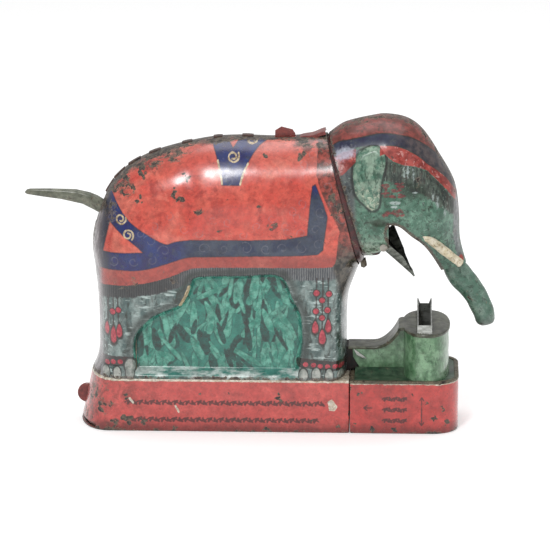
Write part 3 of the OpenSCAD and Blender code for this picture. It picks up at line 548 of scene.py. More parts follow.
def body_print(x, z):
    """Fields of the printed pattern on the body's side."""
    pennant = np.vstack([smooth([[-18, 108], [-17.3, 105.5], [-16, 102.4], [-14.5, 98.7],
                                 [-13.3, 94.4], [-12.5, 90.1]], 30),
                         smooth([[-6.1, 90.1], [-4.8, 94.7], [-2.5, 99.1], [0.2, 102.5],
                                 [3.2, 104.4], [5.9, 107.5]], 30)])
    notch = [[-13.4, 107.5], [-9.0, 102.0], [-4.2, 107.5]]
    blue = np.minimum(inside(x, z, pennant), -inside(x, z, notch))
    tail_band = np.vstack([smooth([[-58.5, 93], [-52.5, 86], [-50.2, 82.6], [-46.8, 78.2],
                                   [-43.2, 75.0], [-38.6, 72.0], [-35, 69.9], [-32, 68.9],
                                   [-29, 69.9], [-23.7, 70.6]], 50),
                           [[-20, 70.6], [-20, 64.4]],
                           smooth([[-22, 64.4], [-25.5, 64.0], [-31.6, 62.0], [-38, 60.0],
                                   [-43.3, 59.2], [-49.4, 59.2], [-60, 58.6]], 40),
                           [[-63, 60], [-64, 92]]])
    blue = np.maximum(blue, inside(x, z, tail_band))
    flap = [[-52.7, 76.0], [-47.9, 71.8], [-42.8, 68.0], [-40.6, 65.8], [-48.6, 65.5],
            [-55.2, 65.3]]
    blue = np.minimum(blue, -inside(x, z, flap))
    low_band = [[-22, 70.6], [-2.5, 70.6], [10, 71.0], [17.6, 72.4], [18.1, 78.1], [18.8, 85.3],
                [19.4, 90.2], [20.5, 90.7], [23.0, 84.5], [24.8, 79.1], [23.9, 72.6], [23.2, 67.2],
                [21.5, 65.6], [15.1, 65.1], [-2.6, 64.8], [-22, 64.4]]
    blue = np.maximum(blue, inside(x, z, low_band))
    hem = np.vstack([smooth([[-66, 51.5], [-57, 52.4], [-52.5, 53.3], [-45.1, 53.9], [-38, 55],
                             [-30.9, 57.1], [-24.9, 59.6], [-20.3, 60.5], [-2.6, 60.7],
                             [15.1, 60.7], [25.4, 60.9], [27.3, 62.0], [27.9, 64.0]], 70),
                     [[28.6, 71.5], [29.2, 73.9], [28.1, 76.2], [25.7, 80.9], [22.4, 88],
                      [20.8, 94], [21.5, 120], [-70, 120]]])
    blanket = inside(x, z, hem)
    cream = strokes(x, z, [curl(-48.6, 77.4, 2.0, 250, 1.35), curl(-45.9, 72.0, 2.1, 80, -1.35),
                           curl(-8.8, 99.4, 2.2, 250, 1.4, 0.9), curl(-2.4, 104.0, 2.2, 10, 1.3, 0.5),
                           smooth([[-14.2, 98.2], [-13.2, 94.3], [-12.5, 90.4]], 12),
                           smooth([[-6.1, 90.4], [-5.0, 94.2], [-3.4, 97.4]], 12)], 0.6)
    cream = np.maximum(cream, strokes(x, z, [[[-27.4, 46.6], [-25.4, 50.2], [-24.3, 53.4]]], 1.1))
    rng = np.random.RandomState(4)
    faint = []
    for cx, cz in ((-38, 70), (-33, 66.5), (20.6, 74.5), (21.6, 69), (16, 68), (9, 67.8),
                   (-6.6, 93.4), (-10.3, 91.8), (3, 67.6), (-4, 67.7), (-12, 67.5), (-19, 67.4),
                   (22.3, 81), (-44, 62.5), (-51, 62.6), (-37.5, 63), (-56, 71)):
        faint.append(curl(cx, cz, 1.5 + rng.rand(), rng.rand() * 360, 0.9 * rng.choice([-1, 1])))
    for cx in np.arange(-52, 18, 5.2):
        faint.append(curl(cx, 75.6 + 3.2 * math.sin(cx * 0.35), 1.7, rng.rand() * 360, 0.85))
    for cx, cz in ((10, 76), (14.2, 79), (15.6, 84), (12.2, 81), (23.6, 97), (19.2, 100),
                   (24.6, 90), (26.6, 84), (29.6, 78.5), (16, 97), (21.6, 103)):
        faint.append(curl(cx, cz, 1.8, rng.rand() * 360, 0.9 * rng.choice([-1, 1])))
    faint = strokes(x, z, faint, 0.3)
    panel = inside(x, z, smooth(PANEL, 120))
    # blades of grass: tapered leaves standing at many angles
    blade, shade = np.full(np.shape(x), -9.0), np.full(np.shape(x), -9.0)
    near = panel > -2
    px, pz = x[near], z[near]
    b, s = np.full(px.shape, -9.0), np.full(px.shape, -9.0)
    for k in range(250):
        cx, cz = rng.uniform(-46, 17), rng.uniform(17, 55)
        lean, size, w = rng.normal(0, 0.5), rng.uniform(5, 13), rng.uniform(0.6, 1.9)
        dx, dz = math.sin(lean), math.cos(lean)
        t = ((px - cx) * dx + (pz - cz) * dz) / size
        bow = rng.uniform(-0.6, 0.6)
        d = (px - cx) * dz - (pz - cz) * dx - bow * t * t
        f = w * np.sqrt(np.clip(t * (1 - t) * 4, 0, 1)) * (1.1 - 0.5 * t) - np.abs(d)
        f = np.where((t > 0) & (t < 1), f, -np.abs(d) - 1)
        # a later leaf hides what lies under it and has a dark outline
        if k % 3:
            s = np.maximum(np.minimum(s, -f), 0.12 - np.abs(f + 0.12))
            b = np.maximum(np.minimum(b, -f - 0.24), f)
        else:
            s, b = np.maximum(s, f), np.minimum(b, -f)
    blade[near], shade[near] = b, s
    beads = []
    for cx, cz, r in ((-51.8, 43.6, 1.05), (-49.6, 44.5, 0.95), (21.0, 51.6, 1.05),
                      (25.4, 51.3, 1.0), (23.0, 49.0, 0.95), (20.8, 45.0, 1.0),
                      (24.9, 45.4, 1.0), (23.0, 42.6, 0.95)):
        beads.append(r - np.hypot(x - cx, z - cz))
    for cx, cz, w, h in ((-54.0, 37.2, 0.95, 2.2), (-51.5, 35.2, 1.15, 3.0), (-49.3, 37.0, 1.1, 2.4),
                         (20.6, 39.2, 1.15, 2.2), (25.2, 39.6, 1.1, 2.2), (23.1, 35.6, 1.25, 2.6)):
        w *= 0.78
        beads.append((1 - np.hypot((x - cx) / (w * (1.15 - 0.35 * (z - cz) / h)), (z - cz) / h)) * w)
    for cx, cz in ((-54.0, 24.7), (-51.7, 25.3), (-49.1, 25.6), (17.2, 25.4), (20.0, 25.2),
                   (22.4, 24.8), (25.0, 24.7), (27.7, 24.7), (29.8, 24.4)):
        beads.append((1 - np.hypot((x - cx) / 0.95, (z - cz) / 0.85)) * 0.85)
    beads = np.max(beads, 0)
    chain = strokes(x, z, [[[-53.5, 49], [-53.8, 38]], [[-51.5, 49], [-51.6, 37]],
                           [[-49.8, 49], [-49.6, 38]], [[21.1, 57], [20.8, 40]],
                           [[23.3, 57], [23.0, 37]], [[25.2, 57], [25.1, 40]]], 0.5)
    cuff = strokes(x, z, [[[-58, 25.0], [-52, 25.5], [-47.4, 26]],
                          [[15.4, 26], [22, 25.2], [31, 24.6]]], 3.6)
    toe = toes(x, z)
    nails = np.where(z < 25, (toe - 0.55) * 1.6, -1)
    swirl = 2.2 - np.hypot(x + 45.5, (z - 24.2) * 0.72)
    nails = np.maximum(nails, swirl)
    return {"blanket": blanket, "blue": blue, "cream": cream, "faint": faint, "panel": panel,
            "blade": blade, "shade": shade, "beads": beads,
            "dark": np.maximum(np.maximum(chain, cuff), np.minimum(beads + 0.35, 0.4)),
            "nails": nails}


def chip_marks(x, z, chips, seed):
    """Flaked spots, each a cluster of ragged slivers."""
    rng = np.random.RandomState(seed)
    best = np.zeros(np.shape(x))
    for cx, cz, r in chips:
        for _ in range(6):
            dx, dz = np.array([x - cx, z - cz]) - rng.normal(0, 0.5 * r, 2)[:, None]
            w, h, lean = r * rng.uniform(0.4, 0.9), r * rng.uniform(0.25, 0.6), rng.uniform(0, np.pi)
            a = dx * math.cos(lean) + dz * math.sin(lean)
            b = dz * math.cos(lean) - dx * math.sin(lean)
            best = np.maximum(best, 1.25 * ease(1.4 - np.hypot(a / w, b / h)))
    return best


def body_wear(x, z, share):
    """Where the paint has suffered: the back seam, the tail's root, the neck, the feet; the band at the feet
    is partly painted shade where they meet the box.
    """
    seam_width = (0.05 + 0.09 * ease((-22 - x) / 16) + 0.05 * ease((x - 8) / 8)
                  + 0.05 * ease(1 - np.abs(x + 14) / 14))
    wear = 0.95 * ease(1 - share / seam_width) * ease((z - 50) / 20)
    spots = ((-48, 88, 7), (-30, 100, 6), (-38, 96, 5), (-52, 79, 6), (29, 80, 5), (27, 96, 5),
             (16, 103, 5), (-24, 90.5, 2.2), (-20.5, 81, 3.2), (11, 71.5, 2.6), (-28, 102, 5),
             (-46, 55, 7), (-30, 56, 5), (24, 104, 5), (31, 63, 4))
    for cx, cz, r in spots:
        wear = np.maximum(wear, 0.58 * ease(1.15 - np.hypot(x - cx, z - cz) / r))
    chips = ((-24.8, 92.2, 1.1), (-26.5, 93.4, 0.6), (-29.3, 87.8, 0.9), (-27.9, 84.7, 1.4),
             (-29.5, 86.0, 0.8), (-42.4, 84.3, 1.1), (-41.5, 93.7, 1.4), (-40.4, 92.7, 1.1),
             (2.5, 99.5, 0.8), (15.5, 99.6, 1.4), (0.4, 83.0, 0.7), (5.5, 75.5, 1.2),
             (6.6, 76.4, 0.9), (-13.5, 74.0, 0.7), (-48.3, 86.0, 0.9), (-52, 86.2, 0.9),
             (-44.5, 88.3, 0.8), (-47.5, 90.5, 1.2), (26.2, 86, 1.6), (28.6, 83, 1.2))
    wear = np.maximum(wear, chip_marks(x, z, chips, 5))
    # partly wear, partly painted shade: a dark band at the foot of the legs where they meet the box
    foot = ease((21.6 - z) / 1.6)
    return np.clip(np.maximum(wear, 0.8 * foot) + 0.25 * ease(1 - share / 0.5), 0, 1.3)


def body_material():
    g = Graph("printed body")
    # legs: pale blue-grey tin with brushed dark strokes
    legs = g.mottled((92, 112, 110), (150, 166, 162), 3.4, 1.0, 0.38, 0.62, detail=6, stretch=(1, 1, 1.6))
    legs = g.spots(legs, (60, 66, 60), 2.6, 0.5, 0.62, 0.8, detail=6, rough=0.65, stretch=(1, 1, 2.6),
                   seed=9.0, warp=0.8)
    legs = g.spots(legs, (206, 224, 220), 1.4, 0.58, 0.68, 0.75, detail=3, rough=0.5,
                   stretch=(3, 1, 0.7), seed=4.2)
    # grey fringe with fine upright strokes under the blanket
    hang = g.sum(g.field("blanket"), 6.6)
    stroke = g.node("ShaderNodeTexWave", {"Vector": g.place, "Scale": 380.0, "Distortion": 2.2,
                                          "Detail": 2.0, "Detail Scale": 1.4},
                    bands_direction="X").outputs["Fac"]
    fringe = g.blend(g.step(stroke, 0.45, 0.9, 0.6), g.mottled((74, 78, 84), (98, 100, 104), 2.5, 2.0),
                     (150, 152, 150))
    rear_dark = g.step(g.x, -0.02, -0.034, 0.75)
    fringe = g.blend(rear_dark, fringe, (54, 52, 54))
    torn = g.times(g.less(g.noise(1.6, 3, seed=2.5), 0.5), 2.4)
    color = g.blend(g.step(g.sum(hang, torn), 1.6, 2.4), legs, fringe)
    # shoulder by the neck, from rosy above to olive below
    shoulder = g.blend(g.step(g.z, 0.074, 0.062),
                       g.mottled((184, 92, 82), (96, 62, 54), 2.4, 6.0, 0.36, 0.6,
                                 detail=6), g.mottled((58, 58, 54), (112, 106, 96), 2, 5.0, detail=6))
    color = g.blend(g.step(g.sum(g.x, g.times(g.z, 0.24)), 0.0405, 0.0425), color, shoulder)
    # dark soft edge round the panel: painted shade along the rim of the pressed-in recess
    rim = g.size(g.sum(g.field("panel"), 1.6))
    rim = g.sum(rim, g.times(g.noise(2.0, 4, seed=3.0), 2.0))
    color = g.blend(g.step(rim, 3.4, 0.9, 0.8), color, (64, 70, 66))
    # blanket: salmon ground, darker printed mottling
    red = g.mottled((214, 86, 76), (232, 114, 98), 12, 1.5, 0.35, 0.7, detail=5)
    red = g.spots(red, (172, 68, 64), 5, 0.48, 0.66, 0.65, detail=7, rough=0.7, seed=5.5, warp=0.8)
    red = g.spots(red, (240, 148, 128), 14, 0.5, 0.66, 0.5, detail=5, rough=0.6, seed=1.2, warp=0.5)
    # painted light: the blanket is painted lighter near the top as a painted highlight, and darker along its
    # lower edge as painted shade
    red = g.blend(g.step(g.z, 0.09, 0.103, 0.4), red, (222, 132, 118))
    red = g.blend(g.step(g.z, 0.0662, 0.064, 0.6), red, (150, 84, 80))
    color = g.layer(color, "blanket", red, 0.3, 0.15, 0.4)
    # the blue is greyer in front of x -22 mm and below z 86 mm
    greyer_blue = g.times(g.step(g.x, -0.03, -0.022), g.step(g.z, 0.089, 0.086))
    blue = g.blend(greyer_blue, g.mottled((34, 50, 104), (52, 68, 120), 4.5, 2.7, 0.38, 0.6, detail=6),
                   g.mottled((54, 64, 88), (78, 86, 102), 4.5, 2.7, 0.38, 0.6, detail=6))
    blue = g.spots(blue, (78, 82, 96), 2.2, 0.55, 0.66, 0.6, detail=5, seed=7.1)
    blue = g.blend(g.step(g.x, -0.051, -0.054, 0.8), blue, (58, 56, 60))
    color = g.layer(color, "blue", blue, 0.22, 0.1, 1.4)
    outline = g.size(g.field("blue"))
    on_cloth = g.step(g.field("blanket"), 0.0, 0.4)
    color = g.blend(g.times(g.step(outline, 0.34, 0.12, 0.45), on_cloth), color, (40, 34, 48))
    color = g.layer(color, "faint", g.blend(0.6, color, (150, 148, 156)), 0.2, 0.1, 2.4, 0.5)
    # panel of grass
    grass = g.mottled((50, 118, 106), (72, 144, 128), 5, 4.0, 0.35, 0.65)
    grass = g.layer(grass, "shade", g.mottled((22, 70, 66), (40, 100, 92), 1.5, 2.0), 0.35, 0.25, 5.1)
    grass = g.layer(grass, "blade", g.mottled((66, 140, 122), (116, 184, 164), 2.6, 3.0, 0.38, 0.62,
                                              detail=6), 0.3, 0.25, 6.1)
    # painted highlight: the foot of the panel, where it curves out to the box, is painted pale blue-white
    grass = g.blend(g.step(g.z, 0.0238, 0.0222, 0.85), grass,
                    g.mottled((84, 142, 132), (240, 250, 246), 5, 6.0, 0.42, 0.6, detail=6,
                              stretch=(1.6, 1, 0.6)))
    color = g.layer(color, "panel", grass, 0.2, 0.15, 7.4)
    color = g.layer(color, "cream", g.mottled((232, 214, 180), (170, 146, 110), 1.2, 1.1), 0.3, 0.1, 3.4)
    color = g.layer(color, "dark", g.mottled((48, 44, 44), (78, 62, 58), 1.1, 5.0), 0.25, 0.15, 8.4, 0.92)
    color = g.layer(color, "beads", g.mottled((172, 62, 76), (206, 94, 102), 1.0, 6.0), 0.15, 0.12, 9.4)
    edge = g.size(g.less(g.field("nails"), 0.05))
    nail = g.mottled((196, 200, 192), (150, 158, 152), 1.5, 8.0)
    color = g.layer(color, "nails", nail, 0.1, 0.1, 3.9)
    color = g.blend(g.step(edge, 0.4, 0.2, 0.8), color, (46, 46, 42))
    # rubbed, rusty strip along the rear seam and dark worn patches; the pale streaked band at the rear edge
    # is a painted reflection on the rounded rump
    worn = g.sum(g.field("wear"), g.times(g.less(g.noise(3.5, 7, 0.7, seed=9.9, warp=0.7), 0.5), 2.6))
    dark = g.mottled((52, 46, 44), (104, 84, 76), 2.0, 7.0, 0.4, 0.62, detail=6)
    color = g.blend(g.step(worn, 0.5, 0.95, 0.75), color, dark)
    strip = g.step(g.x, -0.0545, -0.0575)
    rear_edge_reflection = g.mottled((92, 80, 84), (164, 156, 158), 3.0, 8.8, 0.42, 0.66, stretch=(1, 1, 2.2), detail=7)
    color = g.blend(g.times(strip, g.step(g.z, 0.096, 0.088)), color, rear_edge_reflection)
    return g.age(color, g.field("wear"), chips=-0.01, gloss=0.22, coat=0.5, grime=0.4)


TAIL_SLOT = (3.6, 73, 84)
KICK_SLOT = (4.2, 27.4)
FLAP = (5.6, 12.8)


def build_body():
    step = 3
    fine = 1
    x, z, share = body_grid(402 // fine // step * step + 1, 270 // fine // step * step + 1)
    wide = body_reach(x, z)
    middle = np.broadcast_to(np.array([-12.0, 58.0]), (*x.shape, 2))
    outer, inner = sheet_grids(x, z, share, wide, middle, step)
    points, faces = shell_faces(outer, inner, step)
    printed = body_print(points[:, 0], points[:, 2])
    all_share = np.concatenate([share.ravel(), share[::step, ::step].ravel()])
    printed["wear"] = body_wear(points[:, 0], points[:, 2], all_share)
    material = body_material()
    for side, node in ((1, "right_body_shell"), (-1, "left_body_shell")):
        obj = make("printed_" + node, points * [1, side, 1], faces, 38)
        fields(obj, printed)
        line_inside(obj, material, (x.shape[0] - 1) * (x.shape[1] - 1))
        cut(obj, block(-68, -52, -TAIL_SLOT[0], TAIL_SLOT[0], TAIL_SLOT[1], TAIL_SLOT[2]),
            block(26, 36, -KICK_SLOT[0], KICK_SLOT[0], 18, KICK_SLOT[1]),
            block(FLAP[0] - 0.3, FLAP[1] + 0.3, -0.5, 0.5, 100, 110))
        finish_piece(obj, "frame", "litho_red", material, node)


build_body()


# ------------------------------------------------------------------ head

CROWN = [[25, 106.1, 22], [30.5, 109.8, 20], [40, 112.2, 18], [45.7, 112.8, 17],
         [53, 111.3, 16], [58.6, 107, 15], [64.4, 98.3, 13], [69.5, 89, 11], [71.3, 79, 9],
         [71.9, 68, 7], [74.2, 59.3, 5]]
CHIN = [[38.4, 62, 9], [42, 62.2, 8], [45.8, 63.8, 7]]
MOUTH = [[45.8, 63.8], [46.5, 68.2], [45.7, 71.2], [45, 73.8], [46.4, 76.2], [50.2, 75.6],
         [54.8, 71.8], [58, 69], [60.8, 65.2], [65.2, 57.2]]
EAR = [[35.5, 102.2], [39.6, 104.0], [42.4, 104.1], [44.8, 101.4], [45.0, 97.7], [44.1, 94.2],
       [43.5, 90.6], [43.1, 85.7], [42.6, 82.7], [40.7, 81.5], [38.0, 83.4], [34.9, 87.0],
       [33.6, 93.4], [34.0, 98.0], [35.5, 102.2]]
BLUE_TOP = [[20, 99], [26.2, 103.2], [28.9, 104.8], [33.6, 106.0], [39.5, 107.4], [43.6, 108.2],
            [48.3, 107.9], [53.6, 106.7], [58.4, 103.9], [62.6, 100.1], [65.9, 96.6],
            [68.5, 93.9], [70.6, 90.0], [72, 86]]
BLUE_LOW = [[20, 96], [26.9, 100.8], [29.5, 102.5], [35.4, 103.6], [39.6, 104.3], [44.6, 104.5],
            [48.4, 104.4], [52.5, 103.0], [56.6, 100.4], [60.2, 97.1], [63.2, 94.9],
            [66.8, 91.4], [70.2, 86.4], [72, 83]]
BROW = [[20, 96], [44.8, 101.6], [47.8, 99.2], [51.4, 97.9], [55.5, 97.2], [59.6, 95.4],
        [63.2, 91.8], [66.8, 87.9], [70.2, 83.1], [72, 80]]
FORELOCK = [[44, 92.2], [50, 90.8], [55, 89.0], [60.3, 86.0], [66.8, 81.0], [70.5, 77.3], [73, 74]]


def head_reach(x, z):
    down = (x - 47) * 0.6 + (78 - z) * 0.8
    wide = (mix(17.6, 5, ease((down - 6) / 24)) - 2.5 * ease((x - 48) / 22) * ease((z - 76) / 20)
            + 0.4 * ease((34 - x) / 8))
    leaf = inside(x, z, smooth(EAR, 90))
    wide = wide + 1.15 * ease((leaf + 0.3) / 2.0) - 0.5 * ease((leaf - 1.6) / 3)
    vein = to_line(x, z, smooth([[39.0, 84], [38.6, 92], [40.2, 101]], 20))
    wide = wide - 0.35 * ease(1 - vein / 1.1) * ease(leaf / 1.5)
    fold = to_line(x, z, [[40.6, 77.4], [43, 76.6], [45.6, 77.2]])
    wide = wide - 0.4 * ease(1 - fold / 1.2)
    cheek = np.hypot((x - 52) / 9, (z - 84) / 8)
    return wide + 0.25 * ease(1.2 - cheek) - 0.2 + 0.22 * ripple(x, z, 17, 2.0)


def head_grid(cols, rows):
    chin_cols = int(cols * 5 / 28)
    u = np.linspace(0, 1, cols)
    v = np.sin(np.linspace(0, np.pi / 2, rows))
    k = np.arange(cols)
    low = np.where((k <= chin_cols)[:, None],
                   along(CHIN, np.minimum(k / chin_cols, 1))[:, :2],
                   along(MOUTH, np.clip((k - chin_cols) / (cols - 1 - chin_cols), 0, 1)))
    top = along(CROWN, u)[:, :2]
    rear = mix(np.array(CHIN[0][:2]), np.array(CROWN[0][:2]), v[:, None])
    fore = mix(np.array(MOUTH[-1]), np.array(CROWN[-1][:2]), v[:, None])
    p = patch(low, top, rear, fore, u, v)
    x, z = p[..., 0], p[..., 1]
    seam = np.minimum(edge_share(x, z, smooth(CROWN, 300)), edge_share(x, z, smooth(CHIN, 40)))
    seam[-1] = 0
    seam[0, :chin_cols + 1] = 0
    return x, z, seam


def head_print(x, z):
    top = above(x, z, smooth(BLUE_TOP, 60))
    band = np.minimum(-top, above(x, z, smooth(BLUE_LOW, 60)))
    leaf = inside(x, z, smooth(EAR, 90))
    under = np.minimum(-above(x, z, BLUE_LOW), above(x, z, BROW))
    wedge = inside(x, z, [[26.5, 99.6], [30, 101.6], [34.6, 103.0], [34.6, 98.6], [30.6, 94.4],
                          [28.8, 93.4]])
    red = np.maximum(np.where(x > 43, under, -9), wedge)
    fringe = np.minimum(-above(x, z, BROW), above(x, z, FORELOCK))
    fringe = np.minimum(fringe, x - 44.3)
    rng = np.random.RandomState(2)
    tassel, pale = np.full(np.shape(x), -9.0), np.full(np.shape(x), -9.0)
    for _ in range(54):
        cx, cz = rng.uniform(44.4, 51.6), rng.choice([rng.uniform(86.4, 91.8), rng.uniform(79.6, 81.8)])
        w, h = rng.uniform(0.4, 1.1), rng.uniform(0.25, 0.6)
        tassel = np.maximum(tassel, (1 - np.hypot((x - cx) / w, (z - cz) / h)) * w)
    # pale marks over the head; the one in the eye is a painted highlight
    for cx, cz, w, h in ((48.6, 84.4, 2.0, 0.6), (48.2, 82.9, 1.2, 0.5), (52.9, 95.4, 0.4, 1.5),
                         (51.7, 95.0, 0.3, 1.1), (54.9, 93.8, 0.3, 1.3), (63.6, 84.0, 0.35, 1.3),
                         (66.2, 80.4, 0.35, 1.2), (61.9, 86.2, 0.3, 0.9), (55.6, 88.1, 0.9, 0.3)):
        pale = np.maximum(pale, (1 - np.hypot((x - cx) / w, (z - cz) / h)) * w)
    eye = 0.8 - np.hypot((x - 55.0) / 2.4, (z - 88.6 + 0.2 * (x - 55)) / 1.1)
    strip = strokes(x, z, [smooth([[70.8, 84], [70.2, 76], [70.6, 68], [71.8, 62.5]], 20)], 1.9)
    spot = 1.3 - np.hypot((x - 72.2) / 0.8, (z - 60.6) / 1.5)
    fold = 1.0 - np.hypot((x - 43.1) / 2.9, (z - 77.1) / 1.5)
    chin = ease((74 - z) / 8) * ease((49 - x) / 3)
    lip = 1.1 - to_line(x, z, smooth(MOUTH[4:], 60))
    # painted highlight: the lamp's reflection on the bulge by the neck
    gleam = 1 - np.hypot((x - 30.4) / 3.6, (z - 101.0 - 0.25 * (x - 30.4)) / 1.9)
    return {"crown": top, "band": band, "leaf": leaf, "red": red, "fringe": fringe,
            "tassel": tassel, "pale": pale, "eye": eye, "strip": strip, "spot": spot,
            "fold": fold, "chin": chin, "lip": lip, "gleam": gleam}


def head_wear(x, z, share):
    wear = 0.75 * ease(1 - share / 0.12)
    lip = to_line(x, z, smooth(MOUTH, 60))
    wear = np.maximum(wear, 0.9 * ease(1 - lip / 1.6))
    rear = to_line(x, z, [CHIN[0][:2], CROWN[0][:2]])
    wear = np.maximum(wear, 0.8 * ease(1 - rear / 2.4))
    leaf = np.abs(inside(x, z, smooth(EAR, 60)))
    wear = np.maximum(wear, 0.4 * ease(1 - leaf / 1.0))
    for cx, cz, r in ((31, 84, 4), (32, 76, 3.5), (67, 96, 5), (70, 87, 3), (57, 92, 4),
                      (70.8, 72, 3), (41, 66, 4), (37, 72, 2.6), (48, 101, 2)):
        wear = np.maximum(wear, 0.55 * ease(1.2 - np.hypot(x - cx, z - cz) / r))
    return np.clip(wear, 0, 1.3)


def skin(g):
    """Green printed elephant hide, brushed and mottled."""
    hide = g.mottled((78, 116, 98), (124, 162, 142), 4.2, 3.0, 0.35, 0.66, detail=7, warp=0.5)
    return g.spots(hide, (58, 76, 64), 1.7, 0.53, 0.64, 0.7, detail=6, rough=0.7, stretch=(1, 1, 1.6),
                   seed=4.6, warp=0.5)


def head_material():
    g = Graph("printed head")
    color = skin(g)
    chin = g.mottled((150, 176, 154), (186, 204, 186), 1.8, 5.5, detail=6)
    chin = g.spots(chin, (66, 76, 62), 1.6, 0.5, 0.6, 0.85, detail=5, rough=0.66, seed=8.1, warp=0.5)
    color = g.blend(g.times(g.field("chin"), 0.9), color, chin)
    # grey behind the ear and brushed forelock
    behind = g.times(g.step(g.x, 0.0355, 0.0335), g.step(g.z, 0.07, 0.078))
    color = g.blend(behind, color, g.mottled((78, 84, 88), (112, 118, 116), 2.2, 6.2, detail=6))
    lock = g.mottled((58, 66, 62), (96, 108, 98), 1.5, 2.0, 0.4, 0.62, stretch=(0.6, 1, 3.2), detail=6)
    lock = g.spots(lock, (190, 196, 184), 0.8, 0.62, 0.7, 0.5, detail=2, rough=0.5, stretch=(0.7, 1, 4),
                   seed=5.0)
    lock = g.spots(lock, (74, 62, 54), 2.6, 0.52, 0.62, 0.6, detail=6, rough=0.7, seed=6.4, warp=0.6)
    color = g.layer(color, "fringe", lock, 2.2, 0.6, 3.1)
    # dark brushed shade round the eye and specks over the cheek
    shade = g.step(g.sum(g.field("eye"), g.times(g.noise(1.8, 6, 0.7, seed=1.6), 3.0)), -0.9, 0.4, 0.6)
    color = g.blend(shade, color, (66, 76, 66))
    specks = g.step(g.noise(1.4, 6, 0.7, seed=9.7, warp=0.4), 0.54, 0.64, 0.75)
    color = g.blend(specks, color, (52, 62, 54))
    glints = g.step(g.noise(1.2, 5, 0.65, seed=2.9, warp=0.4), 0.60, 0.68, 0.6)
    color = g.blend(glints, color, (158, 182, 170))
    # painted shade: a dark patch in the crease under the ear
    color = g.layer(color, "fold", (60, 70, 46), 0.25, 0.3, 5.2, 0.75)
    color = g.layer(color, "eye", (40, 46, 42), 0.7, 0.35, 1.1, 0.75)
    leaf = g.mottled((90, 128, 110), (152, 178, 158), 3.0, 7.7, 0.38, 0.6, detail=6)
    leaf = g.spots(leaf, (58, 88, 72), 2.0, 0.52, 0.62, 0.8, detail=5, rough=0.66, stretch=(1, 1, 2.4),
                   seed=9.1, warp=0.5)
    low_end = g.times(g.step(g.z, 0.0935, 0.0865),
                      g.step(g.noise(1.8, 6, 0.7, seed=7.3, warp=0.5), 0.46, 0.6, 0.85))
    leaf = g.blend(low_end, leaf, (212, 220, 196))
    color = g.layer(color, "leaf", leaf, 0.5, 0.2, 6.1)
    # painted shade: a dark edge round the raised ear
    rim = g.size(g.sum(g.field("leaf"), 0.35))
    rim = g.sum(rim, g.times(g.noise(1.3, 4, seed=2.6), 0.9))
    color = g.blend(g.step(rim, 1.25, 0.5, 0.85), color, (52, 58, 50))
    color = g.layer(color, "tassel", g.mottled((158, 66, 72), (92, 54, 56), 0.9, 3.0), 0.7, 0.3, 7.1, 0.8)
    # pale marks; the one in the eye is a painted highlight
    color = g.layer(color, "pale", (186, 202, 198), 1.0, 0.35, 8.0, 0.8)
    red = g.mottled((140, 62, 58), (190, 90, 82), 3, 2.2, 0.38, 0.62, detail=7)
    red = g.spots(red, (232, 176, 170), 1.4, 0.57, 0.63, 0.6, detail=4, rough=0.6, seed=6.6)
    color = g.layer(color, "red", red, 0.3, 0.15, 9.1)
    blue = g.mottled((44, 52, 80), (68, 74, 92), 4, 2.7, detail=6)
    blue = g.spots(blue, (104, 106, 104), 2.4, 0.56, 0.66, 0.5, detail=6, rough=0.7, seed=3.9)
    front = g.step(g.sum(g.x, g.times(g.noise(4, 4, seed=2.8), 0.008)), 0.048, 0.06, 0.8)
    blue = g.blend(front, blue, g.mottled((62, 62, 66), (108, 96, 92), 2.4, 5.1, detail=6))
    color = g.layer(color, "band", blue, 0.3, 0.15, 1.6)
    crown = g.mottled((118, 66, 60), (160, 84, 78), 3.2, 4.4, 0.36, 0.62, detail=7)
    crown = g.spots(crown, (88, 64, 58), 1.9, 0.5, 0.62, 0.8, detail=7, rough=0.7, seed=5.8, warp=0.5)
    color = g.layer(color, "crown", crown, 0.3, 0.15, 2.9)
    for name in ("band", "crown"):
        line = g.step(g.size(g.field(name)), 0.3, 0.1, 0.5)
        color = g.blend(line, color, (44, 34, 44))
    color = g.layer(color, "strip", g.mottled((96, 100, 104), (150, 150, 152), 1.6, 4.0, detail=6), 0.8,
                    0.4, 3.7, 0.85)
    # painted highlight: a pale lavender patch for the lamp's reflection on the bulge by the neck
    color = g.layer(color, "gleam", (206, 210, 228), 0.8, 0.6, 4.3, 0.75)
    color = g.layer(color, "lip", g.mottled((74, 62, 58), (104, 96, 88), 1.2, 5.5), 0.7, 0.4, 2.2, 0.85)
    color = g.layer(color, "spot", (170, 66, 58), 0.3, 0.25, 6.7, 0.9)
    worn = g.sum(g.field("wear"), g.times(g.less(g.noise(2.4, 7, 0.7, seed=9.2, warp=0.6), 0.5), 2.6))
    dark = g.mottled((60, 58, 52), (112, 108, 98), 1.4, 7.0, 0.4, 0.62, detail=6)
    color = g.blend(g.step(worn, 0.5, 0.85, 0.75), color, dark)
    return g.age(color, g.field("wear"), chips=-0.01, gloss=0.32, coat=0.22, grime=0.45)


HEAD_MAT = head_material()


